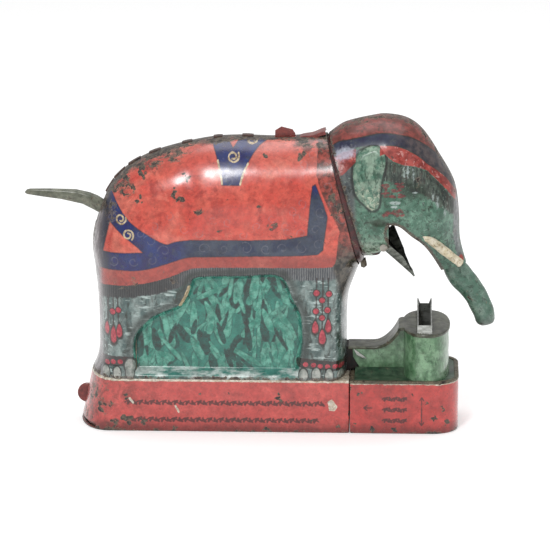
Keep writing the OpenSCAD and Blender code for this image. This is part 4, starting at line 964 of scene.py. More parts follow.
def build_head():
    step = 3
    fine = 1
    x, z, share = head_grid(282 // fine // step * step + 1, 141 // fine // step * step + 1)
    wide = head_reach(x, z)
    mid = np.stack([(x[:1] + x[-1:]) / 2, (z[:1] + z[-1:]) / 2], -1) + np.zeros((*x.shape, 2))
    outer, inner = sheet_grids(x, z, share, wide, mid, step)
    points, faces = shell_faces(outer, inner, step)
    printed = head_print(points[:, 0], points[:, 2])
    all_share = np.concatenate([share.ravel(), share[::step, ::step].ravel()])
    printed["wear"] = head_wear(points[:, 0], points[:, 2], all_share)
    for side, node in ((1, "right_head_shell"), (-1, "left_head_shell")):
        obj = make("printed_" + node, points * [1, side, 1], faces, 38)
        fields(obj, printed)
        line_inside(obj, HEAD_MAT, (x.shape[0] - 1) * (x.shape[1] - 1))
        cut(obj, bar([44.6, -13.4, 68.3], [44.6, 13.4, 68.3], 5.4, 48))
        finish_piece(obj, "head", "litho_green", HEAD_MAT, node)


build_head()


def simple_paint(name, a, b, size, dark=None, gloss=0.3, coat=0.3, wear=0.15, seed=0.0,
                 stretch=(1, 1, 1), cover=0.6):
    """Lacquer of two mixed shades, optionally with darker brush marks."""
    g = Graph(name)
    color = g.mottled(a, b, size, seed, 0.36, 0.64, detail=6, stretch=stretch)
    if dark:
        color = g.spots(color, dark, size * 0.55, 0.54, 0.66, cover, detail=6, rough=0.68, seed=seed + 3,
                        warp=0.6)
    return g.age(color, wear, gloss=gloss, coat=coat)


tail_mat = simple_paint("tail olive", (104, 108, 94), (138, 140, 124), 4, (70, 72, 62), 0.34, 0.3,
                        seed=5.0, wear=0.35)
tusk_mat = simple_paint("tusk cream", (222, 210, 178), (240, 232, 210), 2.2, (146, 116, 76), 0.5, 0.0,
                        seed=2.0, wear=0.35, cover=0.8)
maroon_mat = simple_paint("collar maroon", (70, 36, 30), (98, 48, 38), 3, (46, 30, 26), 0.34, 0.2,
                          seed=7.0, wear=0.4)
tab_mat = simple_paint("tab maroon", (132, 66, 64), (158, 82, 76), 3, (88, 50, 46), 0.32, 0.25,
                       seed=4.0, wear=0.4)
cover_mat = simple_paint("cover olive grey", (82, 86, 74), (120, 122, 106), 4, (60, 64, 54), 0.36,
                         0.2, seed=1.0, wear=0.3)
stump_mat = simple_paint("stump green", (96, 134, 100), (144, 182, 146), 3.4, (60, 92, 66), 0.26,
                         0.4, seed=6.0, wear=0.1, stretch=(1, 1, 1.4), cover=0.65)
tray_mat = simple_paint("tray green", (62, 88, 72), (96, 118, 98), 4, (46, 58, 48), 0.36, 0.2,
                        seed=8.0, wear=0.3)
rim_mat = simple_paint("tray rim", (98, 94, 80), (128, 120, 100), 1.8, (60, 54, 46), 0.42, 0.1,
                       seed=9.0, wear=0.6, cover=0.7)


def tube(path, sides=40, squash=1.0, wobble=0.0):
    """Rings round a path of (x, z, radius) in the plane y = 0."""
    p = np.asarray(path, float)
    d = np.gradient(p[:, :2], axis=0)
    d /= np.linalg.norm(d, axis=1)[:, None]
    turn = round_turn(sides)
    rings = []
    for (x, z, r), (dx, dz) in zip(p, d):
        k = r * (1 + wobble * np.sin(3 * turn + 0.7 * x) * np.sin(0.9 * z))
        rings.append(np.stack([x - dz * np.cos(turn) * k, -np.sin(turn) * k * squash,
                               z + dx * np.cos(turn) * k], -1))
    return loft(rings)


def trunk_material():
    g = Graph("trunk green")
    color = g.mottled((90, 122, 106), (134, 158, 144), 4, 3.0, 0.38, 0.62, detail=7)
    color = g.spots(color, (60, 76, 66), 2.0, 0.52, 0.63, 0.7, detail=6, rough=0.7, seed=6.0, warp=0.6)
    color = g.blend(g.step(g.z, 0.0415, 0.036, 0.6), color,
                    g.mottled((96, 102, 100), (140, 144, 142), 2, 5.0))
    # dark edge along the rear of the curve
    edge = g.less(g.z, g.times(g.x, -1.15))
    edge = g.sum(edge, g.times(g.noise(3, 5, seed=1.2), 0.004))
    color = g.blend(g.step(edge, 0.1325, 0.1285, 0.6), color, (56, 64, 54))
    return g.age(color, 0.35, gloss=0.34, coat=0.2, grime=0.5)


def build_trunk():
    line = along([[68.4, 60.2, 3.4], [71.7, 54.6, 4.5], [77.1, 47.9, 4.1], [80.4, 41.5, 3.9],
                  [81.3, 37.8, 3.5]], np.linspace(0, 1, 46))
    end = [[81.44, 36.9, 3.1], [81.5, 36.4, 2.6], [81.55, 36.05, 1.9], [81.6, 35.85, 0.9]]
    obj = make("lower_trunk_tube", *tube(np.vstack([line, end]), 48, 0.97, 0.02), 60)
    finish_piece(obj, "head", "litho_green", trunk_material(), "lower_trunk")


build_trunk()


def build_tusks():
    root, tip = np.array([57.4, 14.6, 73.4]), np.array([72.0, 7.8, 60.4])
    d = tip - root
    length = np.linalg.norm(d)
    d /= length
    a = np.cross(d, [0, 1, 0])
    a /= np.linalg.norm(a)
    b = np.cross(d, a)
    turn = round_turn(32)
    rings = []
    for t in np.linspace(0, length, 30):
        r = 1.62 - 0.10 * t / length
        k = r * (1 + 0.05 * np.sin(2 * turn + t * 0.6) + 0.035 * np.sin(5 * turn - t * 1.3))
        rings.append(root + d * t + k[:, None] * (np.cos(turn)[:, None] * a + np.sin(turn)[:, None] * b))
    centre = root + d * length
    for t, k in ((0.0, 0.72), (-5.0, 0.6)):
        rings.append(centre + d * t + (rings[29] - centre) * k)
    for side, name in ((1, "left_tusk"), (-1, "right_tusk")):
        pts, faces = loft(rings)
        obj = make("rolled_" + name, pts * [1, side, 1], faces, 50)
        finish_piece(obj, "head", "cream", tusk_mat, name)


build_tusks()

NECK_LEN = float(np.linalg.norm(NECK_HIGH - NECK_LOW))
TILT = math.atan2(NECK_LOW[0] - NECK_HIGH[0], NECK_HIGH[1] - NECK_LOW[1])


def neck_ring(depth, gap, rise=0.0, n=72):
    """Loop round the neck at a depth that may vary along it; depth runs out of the body."""
    s = NECK_LEN * (1 - np.cos(np.linspace(0, np.pi, n))) / 2
    y = 18 * rounded(np.minimum(s / 9, (NECK_LEN - s) / 22)) * (1 - gap / 18)
    middle = NECK_LEN / 2
    s = middle + (s - middle) * (1 - gap / middle)
    s = np.concatenate([s, s[-2:0:-1]])
    y = np.concatenate([y, -y[-2:0:-1]])
    t = s / NECK_LEN
    d = depth(t)
    s = mix(rise, NECK_LEN, t)
    return np.stack([NECK_LOW[0] + d * math.cos(TILT) - s * math.sin(TILT), y,
                     NECK_LOW[1] + d * math.sin(TILT) + s * math.cos(TILT)], -1)


def build_collar():
    inner = lambda t: mix(-10.5, -1.2, t)
    low = lambda t: mix(0.45, 0.6, t)
    mid = lambda t: mix(1.5, 0.85, t)
    high = lambda t: mix(2.5, 1.1, t)
    deep = lambda t: mix(4.1, 2.2, t)
    flat = lambda t: 0 * t - 0.4
    rings = [neck_ring(inner, 1.1), neck_ring(flat, 1.1), neck_ring(low, 1.0, 0.1),
             neck_ring(low, 0.35, 0.2), neck_ring(mid, 0.12, 1.0), neck_ring(high, 0.35, 2.0),
             neck_ring(high, 1.0, 2.3), neck_ring(deep, 1.05, 3.2),
             neck_ring(deep, 1.5, 3.2), neck_ring(flat, 1.6), neck_ring(inner, 1.6)]
    obj = make("neck_collar", *loft(rings, closed=True), 45)
    finish_piece(obj, "head", "maroon", maroon_mat, "neck_sleeve")


build_collar()


def build_lug():
    """Turned-down end of the hoop under the neck."""
    obj = make("hoop_lug", *plate([[36.1, 59.6], [38.1, 60.1], [38.6, 57.7], [37.6, 56.8], [36.5, 57.2]],
                                  -1.6, 1.6, 0.25), 40)
    finish_piece(obj, "head", "bare_tin", tin_mat)


build_lug()


def build_tail():
    top = np.array([[-84.3, 83.5], [-83.6, 84.3], [-82.4, 84.6], [-76, 84.7], [-66, 84.5],
                    [-61, 83.4], [-58.2, 82.3], [-52, 78.6]])
    low = np.array([[-84.3, 83.1], [-83.6, 82.6], [-82.4, 82.4], [-77.2, 81.6], [-71.4, 80.9],
                    [-63.5, 79.2], [-58.2, 76.4], [-52, 72.2]])
    xs = np.concatenate([np.linspace(-84.3, -82.4, 8)[:-1], np.linspace(-82.4, -52, 60)])
    turn = round_turn(36)
    rings = []
    for x in xs:
        hi, lo = np.interp(x, top[:, 0], top[:, 1]), np.interp(x, low[:, 0], low[:, 1])
        w = np.interp(x, [-84.3, -83.6, -82.4, -58, -52], [0.5, 0.8, 0.95, 2.3, 2.5])
        c, s = np.cos(turn), np.sin(turn)
        # folded sheet: flat sides, a round back and a groove along the open underside
        y = np.sign(c) * np.abs(c) ** 0.7 * w
        z = (hi + lo) / 2 + np.sign(s) * np.abs(s) ** 0.8 * (hi - lo) / 2
        groove = ease((-s - 0.93) / 0.07) * min(1.0, 0.4 * (hi - lo))
        rings.append(np.stack([np.full(36, x) + 0.06 * np.sin(z), y * (1 + 0.03 * np.sin(x)),
                               z + groove], -1))
    obj = make("folded_tail", *loft(rings, flip=True), 50)
    finish_piece(obj, "tail", "olive_grey", tail_mat, "tail")


build_tail()


# ------------------------------------------------------------------ money box

BOX = {"rear": -64.7, "front": 32.8, "bulge": 11.0, "height": 19.5, "lean": math.tan(math.radians(12))}


def base_ring(gap, z, n_arc=60, n_side=330):
    """Loop round the main box at height z, shrunk by gap."""
    a = np.linspace(-np.pi / 2, np.pi / 2, n_arc)
    x = BOX["rear"] + BOX["bulge"] - (BOX["bulge"] - gap) * np.cos(a)
    y = (HALF - gap) * np.sin(a)
    end = BOX["rear"] + BOX["bulge"]
    front = BOX["front"] - gap
    r = max(0.7 - gap, 0.1)
    side = np.linspace(end, front - r, n_side)[1:]
    b = np.linspace(0, np.pi / 2, 6)[1:]
    corner_x, corner_y = front - r + r * np.sin(b), HALF - gap - r + r * np.cos(b)
    x = np.concatenate([x, side, corner_x, corner_x[::-1], side[::-1]])
    y = np.concatenate([y, np.full(len(side), HALF - gap), corner_y, -corner_y[::-1],
                        np.full(len(side), gap - HALF)])
    x = x + z * BOX["lean"] * np.clip((front - x) / (front - end), 0, 1)
    return np.stack([x, y, np.full(len(x), z)], -1)


def vine(x, z, x0, x1, row, height=2.2, pitch=4.2):
    """Running stem with a leaf on each bend and dots between, as drawn lines."""
    t = np.arange(x0, x1, 0.3)
    lines = [np.stack([t, row + 0.26 * height * np.sin((t - x0) * 2 * np.pi / pitch)], -1)]
    field = strokes(x, z, lines, 0.5)
    for k, c in enumerate(np.arange(x0 + pitch / 4, x1, pitch / 2)):
        up = 1 if k % 2 == 0 else -1
        dx, dz = x - c - 0.45, z - row - up * 0.42 * height * 0.25
        lean = dx * 0.75 + dz * 0.66 * up
        leaf = (1 - np.hypot(lean / (0.5 * height), (dz * 0.75 - dx * 0.66 * up) / 0.5)) * 0.5
        field = np.maximum(field, leaf)
        field = np.maximum(field, 0.34 - np.hypot(x - c, z - row + up * 0.3 * height))
    return field


def box_wear(x, y, z, top):
    wear = 0.75 * ease(1 - z / 2.0) + 0.3 * ease((z - top + 0.3) / 0.3)
    corner = np.minimum(np.abs(x - 32.8), np.abs(x - 33.1))
    wear = np.maximum(wear, 0.7 * ease(1 - corner / 1.2) * (np.abs(y) > 15))
    return np.clip(wear + 0.6 * ease((-44 - x) / 14), 0, 1.3)


def base_material(name, light, dark):
    g = Graph(name)
    red = g.mottled(light, dark, 7, 2.1, 0.4, 0.68, detail=6)
    red = g.spots(red, (168, 78, 76), 3.2, 0.54, 0.68, 0.45, detail=7, rough=0.7, seed=5.2, warp=0.6)
    # painted shade: the red is painted darker towards the bottom of the box
    low = g.sum(g.z, g.times(g.noise(6, 5, seed=1.7), 0.006))
    red = g.blend(g.step(low, 0.0084, 0.0036, 0.8), red, (116, 58, 52))
    rear = g.times(g.step(g.x, -0.03, -0.058),
                   g.step(g.noise(5, 7, 0.7, seed=4.4, warp=0.8), 0.44, 0.6, 0.75))
    red = g.blend(rear, red, (112, 66, 58))
    motif = g.sum(g.field("motif"), g.times(g.less(g.noise(1.4, 4, seed=3.3), 0.5), 0.4))
    red = g.blend(g.step(motif, -0.1, 0.1, 0.85), red, (78, 42, 42))
    # cream ground showing where the fold has lost its colour
    bare = g.sum(g.field("bare"), g.times(g.less(g.noise(1.5, 6, 0.7, (1.6, 1, 1), 6.4), 0.5), 2.2))
    red = g.blend(g.step(bare, 0.62, 0.72, 0.95), red,
                  g.mottled((244, 240, 224), (200, 186, 160), 1.0, 2.0))
    return g.age(red, g.field("wear"), chips=-0.012, gloss=0.22, coat=0.5, grime=0.5)


BOX_CHIPS = ((7.1, 12.5, 1.5), (-47.3, 13.8, 0.9), (-46.6, 12, 0.7), (-56.8, 8.0, 1.9),
             (-46.3, 4.9, 2.2), (-41, 3.9, 1.3), (-20.8, 14.0, 0.6), (-10.4, 14.5, 0.5),
             (28.9, 2.8, 0.8), (19.2, 4.7, 0.5), (-51, 3, 1.5), (-30, 1.5, 1.2), (3, 1.4, 1.0))


def build_base():
    top = BOX["height"]
    material = base_material("printed box", (208, 92, 88), (222, 104, 98))
    wall = [(0, z) for z in np.linspace(0.5, top - 0.5, 66)]
    profile = ([(3.1, 0.0), (1.8, 0.0), (0.5, 0.02), (0.12, 0.2)] + wall
               + [(0.08, top - 0.28), (0.25, top - 0.08), (0.5, top), (1.8, top), (3.1, top),
                  (3.1, top - TIN), (0.9, top - TIN), (0.65, top - 0.9), (TIN, top - 2), (TIN, 2.0),
                  (0.65, 0.9), (0.9, TIN), (3.1, TIN)])
    rings = np.array([base_ring(g, z) for g, z in profile])
    # old dents in the thin walls
    out = rings[..., 1] / HALF
    rings[..., 1] -= out * 0.12 * (1 + ripple(rings[..., 0], rings[..., 2], 21, 0.8))
    obj = make("printed_box", *loft(rings, closed=True, flip=True), 50)
    line_inside(obj, material, (len(wall) + 8) * rings.shape[1])
    p = rings.reshape(-1, 3)
    x, y, z = p.T
    motif = np.full(len(p), -9.0)
    on = (np.abs(y) > 17) & (x > -52)
    motif[on] = np.maximum(vine(x[on], z[on], -47.5, 23.6, 10.8), vine(x[on], z[on], -47.9, 22, 4.5))
    wear = box_wear(x, y, z, top)
    wear = np.maximum(wear, chip_marks(x, z, BOX_CHIPS, 6))
    scuff = inside(x, z, [[25.2, 11.6], [26.6, 12.6], [28.6, 9.8], [27.6, 8.2], [25.6, 8.4]])
    scuff = np.maximum(scuff, strokes(x, z, [[[-29.4, 9.6], [-28.2, 7.4]], [[-45.8, 12.2], [-44.6, 10.6]]],
                                      0.7))
    fields(obj, {"motif": motif, "wear": wear,
                 "bare": np.maximum(1.35 * ease((z - top + 1.25) / 0.8), 1.6 * ease(scuff * 2 + 0.5))})
    cut(obj, block(-75, -44.7, -16.9, 16.9, TIN, 2.2), block(-75, -52.7, -0.8, 0.8, TIN, 13))
    finish_piece(obj, "frame", "litho_red", material, "base_shell")


build_base()


def front_ring(gap, z, n=24):
    """Loop round the front box: square at the rear, round corners at the front."""
    x0, x1, r = 33.1 + gap, 71.8 - gap, 9.5 - gap
    half = HALF - gap
    a = np.linspace(0, np.pi / 2, n)
    side = np.linspace(x0, x1 - r, 116)
    cx = x1 - r + r * np.sin(a)
    cy = half - r + r * np.cos(a)
    face = np.linspace(half - r, r - half, 24)[1:-1]
    x = np.concatenate([side[:-1], cx, np.full(len(face), x1), cx[::-1], side[::-1][1:]])
    y = np.concatenate([np.full(115, half), cy, face, -cy[::-1], np.full(115, -half)])
    rear = np.linspace(-half, half, 30)[1:-1]
    x = np.concatenate([x, np.full(len(rear), x0)])
    y = np.concatenate([y, rear])
    return np.stack([x, y, np.full(len(x), z)], -1)


FRONT_CHIPS = ((63, 6, 1.1), (66.4, 9.5, 0.9), (60.5, 11.5, 0.6), (48.6, 1.8, 1.0), (41, 2, 0.9),
               (36.2, 14.6, 0.8), (68.6, 4.0, 1.3), (35.0, 3.2, 0.8), (55.4, 14.8, 0.5))


def build_front_box():
    top = 18.55
    wall = [(0, z) for z in np.linspace(0.5, top - 0.15, 60)]
    profile = ([(3.1, 0.0), (1.6, 0.0), (0.5, 0.02), (0.12, 0.2)] + wall
               + [(0.1, top), (TIN - 0.1, top), (TIN, top - 0.2), (TIN, 10), (TIN, 1.2), (0.9, TIN),
                  (3.1, TIN)])
    rings = np.array([front_ring(g, z) for g, z in profile])
    rings[..., 1] -= rings[..., 1] / HALF * 0.1 * (1 + ripple(rings[..., 0], rings[..., 2], 16, 1.8))
    obj = make("printed_front_box", *loft(rings, closed=True), 50)
    material = base_material("printed front box", (212, 88, 84), (194, 78, 74))
    line_inside(obj, material, (len(wall) + 5) * rings.shape[1])
    p = rings.reshape(-1, 3)
    x, y, z = p.T
    m = np.full(len(p), -9.0)
    for row in (12.9, 8.9, 4.9):
        m = np.maximum(m, vine(x, z, 44.6, 53.4, row, 2.0, 3.4))
    m = np.maximum(m, strokes(x, z, [[[38.0, 9.6], [41.0, 9.6]], [[39.2, 10.5], [38.0, 9.6], [39.2, 8.7]],
                                     [[58.7, 3.4], [58.7, 13.4]], [[57.9, 12.4], [58.7, 13.6], [59.5, 12.4]],
                                     [[57.9, 4.4], [58.7, 3.2], [59.5, 4.4]]], 0.45))
    bare = 0.9 * ease((z - top + 0.8) / 0.7)
    fields(obj, {"motif": np.where(np.abs(y) > 16, m, -9),
                 "wear": np.maximum(box_wear(x, y, z, top) + 0.25 * ease((x - 58) / 4),
                                    chip_marks(x, z, FRONT_CHIPS, 7)),
                 "bare": np.maximum(bare, 0.9 * ease(1.3 - np.hypot(x - 28.5, z - 9) / 4))})
    finish_piece(obj, "frame", "litho_red", material, "front_base_shell")


build_front_box()


def build_tray():
    rings = [front_ring(g, z) for g, z in
             ((0.0, 18.62), (-0.12, 18.8), (-0.15, 19.2), (-0.02, 19.45), (0.35, 19.56), (1.1, 19.56),
              (1.4, 19.42), (1.5, 19.15), (1.7, 19.1), (6, 19.1))]
    pts, faces = loft(rings)
    rim = make("tray", pts, faces, 40)
    finish_piece(rim, "frame", "olive_grey", tray_mat, "front_base_top")
    rim.data.materials.append(rim_mat)
    rim_rings = 7
    for poly in rim.data.polygons:
        if poly.index < rim_rings * len(rings[0]):
            poly.material_index = 1
    # raised track from the leg to the stump
    section = [(-9, 19.05), (-8.6, 19.3), (-5.9, 20.7), (-5.4, 20.9), (5.4, 20.9), (5.9, 20.7),
               (8.6, 19.3), (9, 19.05)]
    track = [[[x, y, z + 0.03 * math.sin(x)] for y, z in section] for x in np.linspace(34.7, 53.4, 24)]
    track_obj = make("kicker_track", *loft(track), 30)
    finish_piece(track_obj, "frame", "olive_grey", tray_mat)


build_tray()


# ------------------------------------------------------------------ stump, cover and chute

STUMP = {"x": 60.1, "l": 17.2, "d": 36.4, "top": 36.5}
CHUTE_X = 59.5


def stump_ring(gap, z, n=120):
    a = round_turn(n)
    power = 2 / 2.3
    c, s = np.cos(a), np.sin(a)
    return np.stack([STUMP["x"] + (STUMP["l"] / 2 - gap) * np.sign(c) * np.abs(c) ** power,
                     (STUMP["d"] / 2 - gap) * np.sign(s) * np.abs(s) ** power, np.full(n, z)], -1)


def ribbon(path, half_width, t, drop=0.0):
    """Strip of sheet along a path of (x, z), with its long edges turned down a little."""
    p = np.asarray(path, float)
    d = np.gradient(p, axis=0)
    d /= np.linalg.norm(d, axis=1)[:, None]
    across = np.array([-1, -0.985, -0.94, -0.6, 0, 0.6, 0.94, 0.985, 1])
    rings = []
    for (x, z), (dx, dz), w in zip(p, d, half_width):
        sag = drop * np.clip((np.abs(across) - 0.9) / 0.1, 0, 1) ** 2
        up = np.stack([x + dz * sag, across * w, z - dx * sag], -1)
        dn = np.stack([x + dz * (sag + t), across * (w - 0.12), z - dx * (sag + t)], -1)
        rings.append(np.vstack([up, dn[::-1]]))
    return loft(rings)


def build_stump():
    body = [(0.4 - 0.35 * ease((21 - z) / 1.8) + 0.05 * math.sin(z), z)
            for z in np.linspace(19.15, 35.85, 26)]
    profile = body + [(1.0, 35.85), (1.0, 28), (1.0, 19.15)]
    rings = np.array([stump_ring(g, z) for g, z in profile])
    rings[:26, :, 1] += 0.12 * ripple(rings[:26, :, 0], rings[:26, :, 2], 9, 1.0)
    wall = make("stump_wall_sheet", *loft(rings, closed=True), 40)
    cut(wall, block(45, 60, -4.4, 4.4, 20.95, 35.2))
    # side walls of the tunnel with an aslant mouth and one corner bent out
    roof = [(33.4, 28.1)] + [(41 + 11.6 * math.sin(a), 28.1 + 19 * (1 - math.cos(a)))
                             for a in np.radians(np.linspace(0, 53, 18))] + [(52.4, 35.9)]
    parts = []
    for y0 in (-5.0, 4.4):
        o = [(36.2, 20.9), (33.9, 24.6), (33.7, 28.1)] + roof[1:] + [(52.4, 20.9)]
        parts.append(plate(o, y0, y0 + TIN, 0.08))
    tunnel = make("tunnel_walls", *join_parts(parts), 30)
    finish_piece(wall, "frame", "stump_green", stump_mat, "stump_wall")
    finish_piece(tunnel, "frame", "stump_green", stump_mat)
    tab = [[34.0, 28.0], [37.6, 25.3], [38.9, 24.2], [37.2, 24.6], [35.2, 25.6]]
    flap = make("bent_corner", *plate(tab, -5.75, -5.1, 0.08), 30)
    finish_piece(flap, "frame", "stump_green", chute_mat)
    # painted shade: a dark sheet lining the throat between the leg and the tunnel, where the tunnel's mouth
    # lies in shadow
    side = [[31.2, 19.3], [35.6, 20.9], [35.2, 24.0], [34.2, 27.9], [31.2, 27.9]]
    parts = [plate(side, y0, y0 + TIN, 0.08) for y0 in (-4.9, 4.3)]
    parts.append(block(31.2, 34.4, -4.9, 4.9, 27.9, 28.4))
    throat = make("tunnel_throat", *join_parts(parts), 30)
    finish_piece(throat, "frame", "olive_grey", simple_paint("throat painted shade", (44, 40, 36), (68, 58, 50), 2,
                                                             (30, 26, 24), 0.5, 0.0, wear=0.3))


build_stump()


def build_cover():
    hole_w, hole_l = 5.6 / 2, 33.4 / 2
    n = 120
    a = round_turn(n)
    c, s = np.cos(a), np.sin(a)
    k = 1 / np.maximum(np.abs(c) / hole_w, np.abs(s) / hole_l)
    hole = lambda z: np.stack([CHUTE_X + k * c, k * s, np.full(n, z)], -1)
    top = STUMP["top"]
    edge = [stump_ring(gap, top - drop) for gap, drop in
            ((0.25, 1.1), (0.02, 0.95), (-0.05, 0.3), (0.1, 0.06), (0.4, 0), (1.0, 0))]
    under = [stump_ring(1.2, top - 0.5), stump_ring(0.7, top - 0.7)]
    rings = edge + [hole(top), hole(top - 0.5)] + under
    cover = make("stump_top", *loft(rings, closed=True), 35)
    finish_piece(cover, "frame", "olive_grey", cover_mat, "stump_cover")
    t = np.radians(np.linspace(0, 54, 30))
    path = np.vstack([np.stack([np.linspace(32.2, 40.8, 12), np.full(12, 28.72)], -1),
                      np.stack([41 + 11.6 * np.sin(t), 28.72 + 19 * (1 - np.cos(t))], -1)])
    path = np.vstack([path[path[:, 1] < top - 0.1], [[51.2, top - 0.02], [52.6, top - 0.03]]])
    width = np.interp(path[:, 0], [33, 43, 50.6], [5.25, 5.4, 8.3])
    roof = make("tunnel_roof", *ribbon(path, width, 0.6, 0.5), 35)
    finish_piece(roof, "frame", "olive_grey", cover_mat)


build_cover()


def build_chute():
    hw, hl, t = 2.2, 16.1, 0.45
    top, raised = 39.6, 41.5

    def ring(gap, z_of):
        w, l = hw + t - gap, hl + t - gap
        ys = np.linspace(-l, l, 40)
        across = np.linspace(CHUTE_X - w, CHUTE_X + w, 8)[1:-1]
        x = np.concatenate([np.full(40, CHUTE_X - w), across, np.full(40, CHUTE_X + w),
                            np.linspace(CHUTE_X + w, CHUTE_X - w, 8)[1:-1]])
        y = np.concatenate([ys, np.full(6, l), ys[::-1], np.full(6, -l)])
        return np.stack([x, y, z_of(x, y)], -1)

    level = lambda z: (lambda x, y: np.full(len(x), z))

    def rim(x, y):
        lift = (raised - top) * ease((y - hl + 3.4) / 0.9) * (np.abs(x - CHUTE_X) > hw - 0.1)
        return top + lift + 0.12 * np.sin(y * 0.7) - 0.1

    rings = ([ring(0, level(z)) for z in (20.95, 30, 36.4, 38)] + [ring(0, rim), ring(t, rim)]
             + [ring(t, level(z)) for z in (38, 30, 20.95)])
    obj = make("coin_chute_sheet", *loft(rings, closed=True, flip=True), 40)
    cut(obj, block(55, CHUTE_X, -3.6, 3.6, 20, 33))
    finish_piece(obj, "frame", "bare_tin", chute_mat, "coin_chute")
    # solder at the foot of the near end wall
    rng = np.random.RandomState(3)
    parts = []
    blobs, wall, height = 5, -16.5, 36.45
    for k in range(blobs):
        cx = CHUTE_X + (k - 2) * 0.9
        r = rng.uniform(0.35, 0.6)
        rings = [[[cx + r * math.cos(b) * math.sin(q), wall - 0.5 * r * math.sin(b) * math.sin(q),
                   height + 0.7 * r * math.cos(q)] for b in np.linspace(0, 6.28, 12, endpoint=False)]
                 for q in np.linspace(0.1, 1.57, 5)]
        parts.append(loft(rings))
    solder = make("solder", *join_parts(parts), 60)
    finish_piece(solder, "frame", "bare_tin", chute_mat)


build_chute()


# ------------------------------------------------------------------ jaw, slide, flaps

def build_jaw():
    pivot, tip = np.array([44.6, 68.3]), np.array([56.7, 54.6])
    d = tip - pivot
    length = np.linalg.norm(d)
    d /= length
    up = np.array([-d[1], d[0]])
    rings = []
    for t in np.linspace(0, 1, 36):
        w = mix(12.4, 0.7, t) * (1 - 0.05 * math.sin(math.pi * t))
        near_h = 2.85 * min(1, 1.75 * (1 - t) + 0.1)
        # the left wall is bent up at the hinge
        far_h = near_h + 2.6 * max(0, 1 - t / 0.55)
        corner = np.linspace(0, np.pi / 2, 6)
        r = min(1.2, w * 0.6)
        sag = 0.25 * math.sin(math.pi * t)
        outer = [(w - r + r * math.cos(b), r - r * math.sin(b)) for b in corner]
        inner = [(max(w - r + (r - TIN) * math.cos(b), 0.12), max(r - (r - TIN) * math.sin(b), TIN * 0.9))
                 for b in corner]
        thin = max(w - TIN, 0.15)
        section = [(w, far_h), *outer, (0, -sag), *[(-a, b) for a, b in outer[::-1]], (-w, near_h),
                   (-thin, near_h), *[(-a, b) for a, b in inner], (0, TIN * 0.85 - sag), *inner[::-1],
                   (thin, far_h)]
        base = pivot + d * (t * length + 0.95 * (1 - t)) - up * 1.7
        rings.append([[base[0] + up[0] * b, a, base[1] + up[1] * b] for a, b in section])
    parts = [loft(rings)]
    # hinge barrel rolled from the sheet, bored for its pin
    turn = round_turn(40)
    tube_ring = lambda r, y: np.stack([pivot[0] + r * np.cos(turn), np.full(40, y),
                                       pivot[1] + r * np.sin(turn)], -1)
    parts.append(loft([tube_ring(0.85, -12.4), tube_ring(1.55, -12.4), tube_ring(1.7, -12.2),
                       tube_ring(1.7, 12.2), tube_ring(1.55, 12.4), tube_ring(0.85, 12.4)],
                      closed=True))
    crank = pivot + [0, 6.5]
    parts.append(plate(strap(pivot + [0, 1.2], crank, 2.6), -12.9, -12.1))
    parts.append(bar([crank[0], -14.4, crank[1]], [crank[0], -12.5, crank[1]], 0.8))
    obj = make("jaw_trough", *join_parts(parts), 35)
    finish_piece(obj, "jaw", "bare_tin", jaw_mat, "jaw")
    # painted shade: the faces inside the trough are painted near-black for the shadow inside the mouth
    dark = simple_paint("jaw inside painted shade", (34, 34, 32), (52, 50, 46), 2, None, 0.6, 0.0, wear=0.2)
    obj.data.materials.append(dark)
    for poly in obj.data.polygons:
        n = poly.normal
        c = poly.center / MM
        if n[0] * up[0] + n[2] * up[1] > 0.55 and c[2] < 67.5 and c[0] > 45.5:
            poly.material_index = 1


build_jaw()


def build_slide():
    outline = []
    for a in np.linspace(-1, 1, 40):
        y = 16.5 * a
        x = BOX["rear"] + BOX["bulge"] - (BOX["bulge"] - 1.2) * math.sqrt(1 - (y / 17.8) ** 2)
        outline.append([x + 0.2, y])
    outline += [[31.6, 16.5], [31.6, -16.5]]
    o = np.array(outline)
    ring = lambda k, z: np.stack([o[:, 0] * k, o[:, 1] * k, np.full(len(o), z)], -1)
    parts = [loft([ring(1, 1.0), ring(1, 1.8)], flip=True)]
    turn = round_turn(48)
    disc = lambda r, y: np.stack([-62.7 + r * np.cos(turn), np.full(48, y), 8.9 + r * np.sin(turn)], -1)
    parts.append(loft([disc(3.3, -0.45), disc(3.6, -0.25), disc(3.6, 0.25), disc(3.3, 0.45)]))
    parts.append(plate([[-62.7, 1.2], [-56.9, 1.2], [-56.9, 9.5], [-59.6, 10.6], [-62, 9]], -0.4, 0.4))
    obj = make("coin_slide_tab", *join_parts(parts), 30)
    finish_piece(obj, "slide", "maroon", tab_mat, "coin_slide")


build_slide()


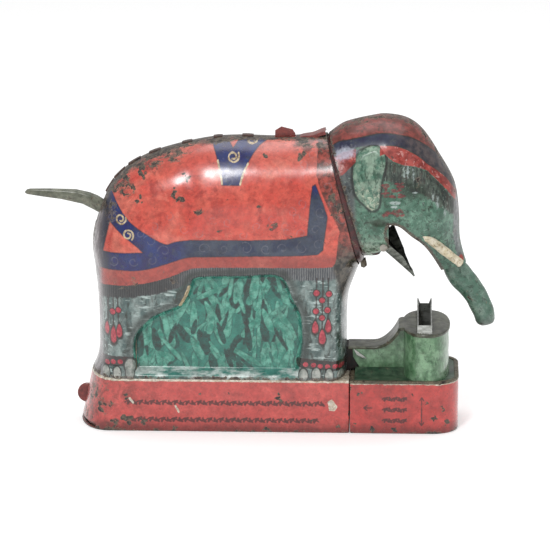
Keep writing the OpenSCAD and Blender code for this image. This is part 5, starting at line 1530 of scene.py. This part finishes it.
def build_flaps():
    """Folded tab over the neck joint, and the cleats along the back's seam."""
    t = np.linspace(0, 1, 22)
    path = np.stack([14.4 + 9.1 * t, 104.9 + 2.3 * t ** 1.3 + 0.15 * np.sin(9 * t)], -1)
    tab = make("neck_tab", *ribbon(path, 2.6 + 1.8 * t, 0.5, 0.8), smooth_angle=45)
    finish_piece(tab, "frame", "maroon", tab_mat)
    # folded cleats that grip the seam along the back
    rng = np.random.RandomState(8)
    parts = []
    for u in np.linspace(0.485, 0.93, 8):
        x, z, _ = along(BACK, u)
        if 3 < x < 15:
            continue
        x2, z2, _ = along(BACK, u + 0.02)
        d = np.array([x2 - x, z2 - z]) / math.hypot(x2 - x, z2 - z)
        w = rng.uniform(1.6, 2.6)
        path = np.array([x, z]) + np.outer(np.linspace(-w, w, 8), d)
        path[:, 1] += 0.35 + 0.1 * np.cos(np.linspace(-1.5, 1.5, 8))
        parts.append(ribbon(path, 1.5 + 0.15 * np.sin(np.linspace(0, 3, 8)), 0.4, 0.35))
    obj = make("seam_cleats", *join_parts(parts), 45)
    finish_piece(obj, "frame", "litho_red", simple_paint("seam brown", (76, 60, 54), (104, 78, 70), 2.4,
                                                         (54, 46, 42), 0.4, 0.15, wear=0.5))


build_flaps()

frame["nodes"]["neck_bracket"].data.materials[0] = tab_mat

# ------------------------------------------------------------------ stage

CAMERA_AIM = Vector((5.54, 0.0, 53.5)) * MM
CAMERA_FAR = 1.2
azimuth, elevation = math.radians(2.26), math.radians(14)
back = Vector((math.sin(azimuth) * math.cos(elevation), -math.cos(azimuth) * math.cos(elevation),
               math.sin(elevation)))
camera = bpy.data.objects.new("camera", bpy.data.cameras.new("camera"))
bpy.context.scene.collection.objects.link(camera)
camera.data.sensor_width = 36
camera.data.lens = 36 / 0.198 * CAMERA_FAR
camera.location = CAMERA_AIM + back * CAMERA_FAR
camera.rotation_euler = (-back).to_track_quat("-Z", "Y").to_euler()
bpy.context.scene.camera = camera


def area_light(name, place, aim, size, power):
    data = bpy.data.lights.new(name, "AREA")
    data.shape, data.size, data.size_y = "RECTANGLE", size[0], size[1]
    data.energy = power
    obj = bpy.data.objects.new(name, data)
    obj.location = place
    obj.rotation_euler = (Vector(aim) - Vector(place)).to_track_quat("-Z", "Y").to_euler()
    bpy.context.scene.collection.objects.link(obj)


area_light("key", (-0.2, -0.75, 0.82), (0, 0, 0.06), (0.17, 0.17), 4.2)
area_light("fill", (0.9, -0.6, 0.35), (0, 0, 0.06), (0.4, 0.5), 0.8)
area_light("top", (0.1, 0.25, 1.1), (0, 0, 0.05), (0.9, 0.6), 4)

world = bpy.data.worlds.new("studio")
world.use_nodes = True
world.node_tree.nodes["Background"].inputs["Color"].default_value = (1, 1, 1, 1)
world.node_tree.nodes["Background"].inputs["Strength"].default_value = 0.62
bpy.context.scene.world = world

floor = make("floor", [[-6000, -3000, 0], [6000, -3000, 0], [6000, 9000, 0], [-6000, 9000, 0]],
             [[0, 1, 2, 3]], 0)
floor_graph = Graph("pale floor")
floor.data.materials.append(floor_graph.done((0.92, 0.92, 0.92, 1), 0.75))
floor_graph.shader.inputs["Emission Color"].default_value = (1, 1, 1, 1)
floor_graph.shader.inputs["Emission Strength"].default_value = 0.25
bpy.context.scene.view_settings.view_transform = "Standard"
